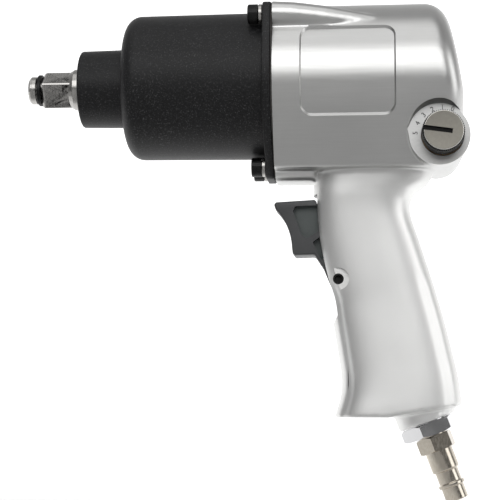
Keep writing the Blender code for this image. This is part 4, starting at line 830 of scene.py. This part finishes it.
def boss_outline(margin=0.0):
    """The knob's boss from the side: round, with a corner towards the front."""
    points = circle((BOSS_SHIFT_X, 0), BOSS_RADIUS + margin, 96)
    points.append((BOSS_CORNER[0] - margin, BOSS_CORNER[1] + margin / 2))
    return band_around(points)


def make_casting():
    """All cast stock in one skin, with rounded inner corners."""
    foot = []
    for bolt in BOLTS[2:]:
        foot += circle((bolt.y, bolt.z), FOOT_RADIUS)
    foot += [(BOLTS[2].y, GRIP_TOP + 8), (BOLTS[3].y, GRIP_TOP + 8)]
    pieces = [make_grip(), plate("foot", band_around(foot), HOUSING_X - 3,
                                 HOUSING_X + FOOT_LENGTH, AXIS_X)]
    for bolt in BOLTS[:2]:
        sections = []
        for x, radius, pull in ((-3, EAR_RADIUS + 0.3, 1.0), (10, EAR_RADIUS, 0.985),
                                (24, 5.4, 0.93), (52, 4.0, 0.8)):
            sections.append([(HOUSING_X + x, y, z) for y, z in
                             circle((bolt.y * pull, bolt.z * pull), radius)])
        pieces.append(loft("boss", sections))
    sections = [[(VALVE_AXIS.x + x * size, y, VALVE_AXIS.z + z * size) for x, z in boss_outline()]
                for y, size in ((-FACE_Y - 2, 1.0), (FACE_Y + 2, BOSS_DRAFT))]
    pieces.append(loft("valve_boss", sections))
    pieces.append(rod("inlet_boss", 0, -20, INLET_BOSS_RADIUS, INLET_FACE, INLET_DOWN, 96))
    casting = join(make_body(), *pieces)
    casting.name = "housing_shell"
    remesh = casting.modifiers.new("skin", "REMESH")
    remesh.mode = "VOXEL"
    remesh.voxel_size = SKIN_VOXEL * MM
    remesh.use_smooth_shade = True
    relax = casting.modifiers.new("relax", "SMOOTH")
    relax.factor = 0.5
    relax.iterations = SKIN_RELAX
    return settle(casting)


def make_panel_tool():
    """The recessed panel, cut to one depth all over the round side, with sloping walls."""
    front, rear, bottom, top = PANEL
    floor = BODY_RADIUS - PANEL_DEPTH
    sections = []
    for radius, grow in ((floor - 0.7, -0.4), (floor + 2.1, 1.2)):
        x1, x2 = HOUSING_X + front - grow, HOUSING_X + rear + grow
        z1, z2 = bottom - grow, top + grow
        corner = PANEL_ROUND + grow
        outline = rounded([(x1, z1, corner), (x2, z1, corner), (x2, z2, corner),
                           (x1, z2, corner)], closed=True, steps=8)
        sections.append([])
        for x, z in spaced(outline, 160):
            turn = math.asin(z / BODY_RADIUS)
            sections[-1].append((x, -radius * math.cos(turn), radius * math.sin(turn)))
    sections.append([(x, -BODY_RADIUS - 9, z) for x, y, z in sections[-1]])
    tool = loft("panel_tool", sections)
    return cut(tool, rod("panel_core", HOUSING_X - 5, HOUSING_X + 80, floor, sides=180))


def make_housing():
    """The cast housing and grip, with its bores, slot, pocket, scoops and panel."""
    casting = make_casting()
    sections = [[(VALVE_AXIS.x + px, y, VALVE_AXIS.z + pz) for px, pz in boss_outline(-0.05)]
                for y in (-FACE_Y - 1, -FACE_Y + 5)]
    join(casting, loft("boss_face", sections))
    x, z = PIN.x, PIN.z
    slot = [(HOUSING_X + 5, GRIP_TOP - SLOT_DROP), (HOUSING_X + SLOT_DEPTH, GRIP_TOP - SLOT_DROP),
            (HOUSING_X + SLOT_DEPTH, z + 6.0), (HOUSING_X + SLOT_LOW_DEPTH, z + 4.6),
            (HOUSING_X + SLOT_LOW_DEPTH, z - 5.2), (HOUSING_X + 22, z - 26),
            (HOUSING_X + 5, z - 26)]
    half = TRIGGER_HALF + SLOT_GAP
    base = GRIP_TOP - GRIP_DROP
    tools = [
        plate("front_face", [(-60, -60), (60, -60), (60, 60), (-60, 60)], HOUSING_X - 12, HOUSING_X,
              AXIS_X),
        rod("motor_bore", HOUSING_X - 1, HOUSING_X + BORE_DEPTH, MOTOR_BORE),
        plate("trigger_slot", slot, -half, half, AXIS_Y),
        plate("muffler_pocket", [(HOUSING_X + MUFFLER_FRONT, base - 2),
                                 (HOUSING_X + MUFFLER_REAR, base - 2),
                                 (HOUSING_X + MUFFLER_REAR, base + 30),
                                 (HOUSING_X + MUFFLER_FRONT, base + 30)],
              -MUFFLER_HALF, MUFFLER_HALF, AXIS_Y),
        turned("inlet_way", [(1, 0), (1, 9.5), (-16, 9.5), (-16, 7.5), (-50.5, 7.5), (-50.5, 4.6),
                             (-84, 4.6), (-84, 0)], INLET_FACE, INLET_DOWN, 64),
        rod("valve_bore", -FACE_Y - 3, FACE_Y + 3, VALVE_BORE, VALVE_AXIS, AXIS_Y, 96),
        rod("pin_hole", -40, 40, PIN_HOLE_RADIUS, (x, 0, z), AXIS_Y, FEW),
        make_panel_tool(),
    ]
    for side in (-1, 1):
        sections = [[(VALVE_AXIS.x + px * size, side * y, VALVE_AXIS.z + pz * size)
                     for px, pz in boss_outline(0.5)]
                    for y, size in ((FACE_Y, 1.0), (FACE_Y + SCOOP_DEPTH, SCOOP_FLARE))]
        tools.append(loft("scoop", sections))
        spot = band_around(circle((x, z), 4.9) + circle((x - 14, z), 4.9))
        tools.append(plate("spot_face", spot, side * SPOT_FACE_Y, side * 20, AXIS_Y))
    cut(casting, *tools)
    smooth_shading(casting, 30)
    dress(casting, "housing", "cast_aluminium", ("motor_housing",))
    paint(casting, "machined", lambda spot, normal: abs(normal.y) > 0.995
          and abs(abs(spot.y) - FACE_Y) < 0.3)


def make_marks():
    """The generic numbers 5 to 0 around the regulator's knob, coloured dark as painted shade
    for raised digits.
    """
    for number in range(DIAL_LAST + 1):
        name = f"dial_mark_{DIAL_LAST - number}"
        angle = math.radians(DIAL_START - DIAL_STEP * number)
        curve = bpy.data.curves.new(name, "FONT")
        curve.body = str(DIAL_LAST - number)
        curve.size = DIAL_SIZE * MM
        curve.extrude = 0.12 * MM
        curve.align_x = "CENTER"
        curve.align_y = "CENTER"
        glyph = bpy.data.objects.new(name, curve)
        bpy.context.collection.objects.link(glyph)
        place = VALVE_AXIS + DIAL_RADIUS * Vector((math.cos(angle), 0, math.sin(angle)))
        place.y = -FACE_Y - 0.06
        glyph.location = place * MM
        glyph.rotation_euler = (math.radians(90), math.pi / 2 - angle, 0)
        bpy.context.view_layer.update()
        graph = bpy.context.evaluated_depsgraph_get()
        mesh = bpy.data.meshes.new_from_object(glyph.evaluated_get(graph))
        solid = bpy.data.objects.new(name, mesh)
        bpy.context.collection.objects.link(solid)
        solid.matrix_world = glyph.matrix_world
        bpy.data.objects.remove(glyph, do_unlink=True)
        solid.name = name
        # Painted shade: the numbers are coloured dark for the shading of raised cast digits.
        dress(solid, "housing", "cast_aluminium", (), "mark")


# ---- knob ----
def make_knob():
    """The regulator's knob: a turned grey face with a pointer slot and a black knurled skirt."""
    rim = KNOB_FRONT + 1.0
    face_radius = KNOB_RADIUS - 0.6
    flutes = 60
    outline = []
    for number in range(flutes):
        turn = 2 * math.pi * number / flutes
        for share, radius in ((0.0, KNOB_RADIUS), (0.35, KNOB_RADIUS), (0.6, KNOB_RADIUS - 0.35),
                              (0.85, KNOB_RADIUS - 0.35)):
            angle = turn + share * 2 * math.pi / flutes
            outline.append((radius * math.cos(angle), radius * math.sin(angle)))
    sections = [[(KNOB.x + x * size, y, KNOB.z + z * size) for x, z in outline]
                for y, size in ((KNOB_BACK, 0.97), (KNOB_BACK - 0.5, 1.0), (rim + 0.8, 1.0),
                                (rim + 0.2, 0.96))]
    skirt = loft("knob_skirt", sections, 25)
    profile = rounded([(rim + 0.6, 0), (rim + 0.6, face_radius), (KNOB_FRONT, face_radius, 0.35),
                       (KNOB_FRONT + 0.05, face_radius - 0.7), (KNOB_FRONT + 0.05, 0)])
    join(skirt, turned("knob_face", profile, VALVE_AXIS, AXIS_Y, 120))
    tilt = math.radians(POINTER_TILT)
    along = Vector((math.cos(tilt), 0, math.sin(tilt)))
    side = Vector((-along.z, 0, along.x)) * POINTER_HALF
    centre = VALVE_AXIS
    first, last = centre - along * (KNOB_RADIUS + 1), centre + along * (KNOB_RADIUS * 0.42)
    corners = [first - side, last - side, last + side, first + side]
    cut(skirt, plate("knob_slot", [(spot.x, spot.z) for spot in corners], KNOB_FRONT - 1,
                     KNOB_FRONT + POINTER_DEPTH, AXIS_Y))
    skirt.name = "knob_shell"
    smooth_shading(skirt, 25)
    dress(skirt, "regulator", "knob_metal", ("regulator_knob",), "knob_skirt")
    paint(skirt, "knob_metal", lambda spot, normal: normal.y < -0.9 and spot.y < KNOB_FRONT + 0.2)
    paint(skirt, "knob_edge", lambda spot, normal: spot.y < KNOB_FRONT + 0.45
          and -0.98 < normal.y < -0.1 and (spot - centre).length > face_radius - 1)


# ---- trigger ----
def make_trigger():
    """The moulded trigger with its side pockets."""
    x, z = PIN.x, PIN.z
    front = arc((x - 47.1, z + 13.7), 26.2, 44, 2, 17)
    boss = arc((x, z), 4.4, -150, 40, 17)
    outline = [(x - 10.2, z + 36.2), *rounded([(x - 20, z + 35.66), (x - 29.2, z + 35.2, 1.6),
                                               (x - 28.4, z + 31.9)])[1:-1],
               *front, *rounded([(x - 20.9, z + 14), (x - 20.4, z + 11.0, 1.4),
                                 (x - 15, z + 11.2)])[1:-1],
               (x - 10.8, z + 11.3), (x - 6.9, z + 5.3), *boss, (x - 3.0, z + 8.0),
               (x - 4.6, z + 14.0), (x - 5.2, z + 24.0)]
    lever = plate("trigger_lever", outline, -TRIGGER_HALF, TRIGGER_HALF, AXIS_Y)
    bevel(lever, 0.9, 4, 50)
    pocket = rounded([(x - 6.8, z + 33.6, 0.6), (x - 19.4, z + 33.3, 0.8), (x - 20.4, z + 31.0, 1.2),
                      (x - 16.6, z + 20.6, 1.0), (x - 14.4, z + 18.4, 1.4),
                      (x - 7.2, z + 22.8, 0.8)], closed=True)
    small = rounded([(x - 11.5, z + 17.0, 0.8), (x - 6.6, z + 20.4, 0.8), (x - 5.6, z + 9.5, 0.8),
                     (x - 7.6, z + 8.6, 0.8)], closed=True)
    tools = []
    for begin, end in ((-TRIGGER_HALF - 2, POCKET_DEPTH - TRIGGER_HALF),
                       (TRIGGER_HALF - POCKET_DEPTH, TRIGGER_HALF + 2)):
        tools.append(plate("pocket", pocket, begin, end, AXIS_Y))
        tools.append(plate("small_pocket", small, begin, end, AXIS_Y))
    tools.append(rod("lever_hole", -20, 20, 2.75, (x, 0, z), AXIS_Y, FEW))
    cut(lever, *tools)
    smooth_shading(lever)
    dress(lever, "trigger", "trigger_plastic", ("trigger",))
    paint(lever, "pocket_plastic", lambda spot, normal: abs(normal.y) > 0.99
          and abs(abs(spot.y) - TRIGGER_HALF + POCKET_DEPTH) < 0.05)


def make_pin():
    """The split roll pin that the trigger turns on."""
    half = SPOT_FACE_Y + 0.3
    profile = rounded([(3 - half, 0), (3 - half, 1.7), (-half, 1.75), (-half, 2.4, 0.3),
                       (half, 2.4, 0.3), (half, 1.75), (half - 3, 1.7), (half - 3, 0)])
    pin = turned("roll_pin", profile, (PIN.x, 0, PIN.z), AXIS_Y, FEW)
    gap = [(PIN.x - 0.35, PIN.z - 4), (PIN.x + 0.35, PIN.z - 4), (PIN.x + 0.35, PIN.z),
           (PIN.x - 0.35, PIN.z)]
    for begin, end in ((-half - 1, 3 - half), (half - 3, half + 1)):
        cut(pin, plate("pin_gap", gap, begin, end, AXIS_Y))
    smooth_shading(pin)
    dress(pin, "housing", "steel", ("trigger_pin",), "black_oxide")


# ---- inlet ----
def hex_nut(name, flats, begin, end, chamfer, bore, turn):
    """A hexagon with chamfered corners, cut from a turned blank."""
    corner = flats / math.sqrt(3)
    blank = turned(name, [
        (begin, 0), (begin, corner - chamfer), (begin + chamfer * 0.58, corner + 0.02),
        (end - chamfer * 0.58, corner + 0.02), (end, corner - chamfer), (end, 0)],
        INLET_FACE, INLET_DOWN, 96)
    prism = rod("prism", begin - 1, end + 1, corner, INLET_FACE, INLET_DOWN, 6, turn)
    combine(blank, [prism], "INTERSECT")
    return cut(blank, rod("bore", begin - 2, end + 2, bore, INLET_FACE, INLET_DOWN, FEW))


def make_inlet():
    """The chrome bushing and the plated plug in it."""
    bushing = hex_nut("bushing_nut", 23.0, 0.3, 6.1, 1.4, 6.6, 20)
    sleeve = turned("bushing_sleeve", [(-15.7, 6.6), (-15.7, 9.2), (1.5, 9.2), (1.5, 6.6)],
                    INLET_FACE, INLET_DOWN, FEW)
    join(bushing, sleeve)
    smooth_shading(bushing)
    dress(bushing, "housing", "chrome", ("inlet_bushing",))
    profile = rounded([
        (-9, 3.6), (-9, 6.3), (6.9, 6.3), (7.2, 6.0), (13, 6.0), (13.2, 6.2), (22.6, 6.2, 0.8),
        (23.0, 5.2, 0.3), (28.4, 5.2, 0.3), (28.6, 6.0, 0.4), (30.0, 6.0, 0.4), (30.3, 5.1, 0.3),
        (36.6, 5.1, 0.5), (36.6, 3.6, 0.3)], closed=True)
    plug = turned("plug_shell", profile, INLET_FACE, INLET_DOWN, 96)
    join(plug, hex_nut("plug_nut", 15.0, 6.6, 13.5, 1.0, 5.0, 12))
    smooth_shading(plug)
    dress(plug, "housing", "nickel_plate", ("air_plug",))


def make_cover():
    """The turned end cap on the far side of the valve."""
    inner = (high("valve_end_cap").z - low("valve_end_cap").z) / 2
    profile = rounded([(low("valve_end_cap").y, 0), (low("valve_end_cap").y, inner),
                       (COVER_Y, inner, 0.4), (COVER_Y, inner - 2.0, 0.2),
                       (COVER_Y - 0.6, inner - 2.4, 0.2), (COVER_Y - 0.6, 0)])
    cap = turned("valve_cap", profile, (VALVE_AXIS.x, 0, VALVE_AXIS.z), AXIS_Y, 96)
    dress(cap, "housing", "black_oxide", ("valve_end_cap",))


# ---- floor, light and camera ----
def make_stage():
    """A pale floor that curves up into a backdrop. It glows a little towards the back and less high
    up the backdrop: painted light that stands in for a lit studio sweep."""
    ground = (cad_box[0] / MM).z - FLOOR_CLEAR
    line = [(-FLOOR_FRONT, ground), (FLOOR_BACK, ground)]
    for step in range(1, SWEEP_STEPS + 1):
        angle = math.pi / 2 * step / SWEEP_STEPS
        line.append((FLOOR_BACK + SWEEP_RADIUS * math.sin(angle),
                     ground + SWEEP_RADIUS * (1 - math.cos(angle))))
    line.append((FLOOR_BACK + SWEEP_RADIUS, BACKDROP_HIGH))
    points = [(x, y, z) for y, z in line for x in (-FLOOR_HALF, FLOOR_HALF)]
    faces = [(2 * i, 2 * i + 1, 2 * i + 3, 2 * i + 2) for i in range(len(line) - 1)]
    floor = mesh_object("floor", points, faces, 180)
    make = Nodes("look_floor")
    split = make.add("ShaderNodeSeparateXYZ", Vector=make.place)
    back = make.levels(split.outputs["Y"], 0.0, 0.95, -0.05, 0.05)
    height = make.levels(split.outputs["Z"], 1.0, 0.3, 0.35, 0.9)
    make.set(Base_Color=make.mix(make.noise(3, 2), (0.5, 0.5, 0.5), (0.52, 0.52, 0.52)),
             Roughness=0.95)
    make.shader.inputs["Specular IOR Level"].default_value = 0.05
    make.shader.inputs["Emission Color"].default_value = (1, 1, 1, 1)
    # Painted light: the emission makes the floor's back and sweep glow.
    make.set(Emission_Strength=make.add_up(back, height, "MULTIPLY"))
    floor.data.materials.append(make.material)


def area_light(name, place, aim, width, height, watts):
    """A soft box at a place, turned towards a point."""
    lamp = bpy.data.lights.new(name, "AREA")
    lamp.shape = "RECTANGLE"
    lamp.size = width * MM
    lamp.size_y = height * MM
    lamp.energy = watts
    thing = bpy.data.objects.new(name, lamp)
    bpy.context.collection.objects.link(thing)
    thing.location = Vector(place) * MM
    thing.rotation_euler = (Vector(place) - Vector(aim)).to_track_quat("Z", "Y").to_euler()


def make_light():
    """A dim room, darker below, with a wide soft box in front, one overhead and one at the rear."""
    world = bpy.data.worlds.new("studio")
    world.use_nodes = True
    tree = world.node_tree
    direction = tree.nodes.new("ShaderNodeTexCoord").outputs["Generated"]
    split = tree.nodes.new("ShaderNodeSeparateXYZ")
    ramp = tree.nodes.new("ShaderNodeMapRange")
    tree.links.new(direction, split.inputs[0])
    tree.links.new(split.outputs["Z"], ramp.inputs["Value"])
    for label, value in (("From Min", -0.1), ("From Max", 0.4), ("To Min", 0.05), ("To Max", 0.3)):
        ramp.inputs[label].default_value = value
    background = tree.nodes["Background"]
    background.inputs["Color"].default_value = (1, 1, 1, 1)
    tree.links.new(ramp.outputs["Result"], background.inputs["Strength"])
    bpy.context.scene.world = world
    middle_of_tool = (100, 0, -60)
    area_light("front", (60, -1250, 640), middle_of_tool, 1700, 900, 10.5)
    area_light("overhead", (80, -300, 900), middle_of_tool, 1000, 600, 1.7)
    area_light("right_edge", (900, -260, 120), middle_of_tool, 400, 700, 1.6)
    bpy.context.scene.view_settings.view_transform = "Standard"


def make_camera():
    """The camera, a little to the rear of the tool and below it."""
    yaw, pitch = math.radians(CAMERA_YAW), math.radians(CAMERA_PITCH)
    forward = Vector((-math.sin(yaw) * math.cos(pitch), math.cos(yaw) * math.cos(pitch),
                      math.sin(pitch)))
    lens = bpy.data.cameras.new("camera")
    lens.sensor_width = CAMERA_SENSOR
    lens.lens = CAMERA_LENS
    lens.clip_start = 0.01
    camera = bpy.data.objects.new("camera", lens)
    bpy.context.collection.objects.link(camera)
    camera.location = (CAMERA_AIM - forward * CAMERA_DISTANCE) * MM
    camera.rotation_euler = forward.to_track_quat("-Z", "Y").to_euler()
    bpy.context.scene.camera = camera


make_camera()
make_drive()
make_ring()
make_case()
make_bolts()
make_housing()
make_marks()
make_knob()
make_trigger()
make_pin()
make_inlet()
make_cover()
make_stage()
make_light()
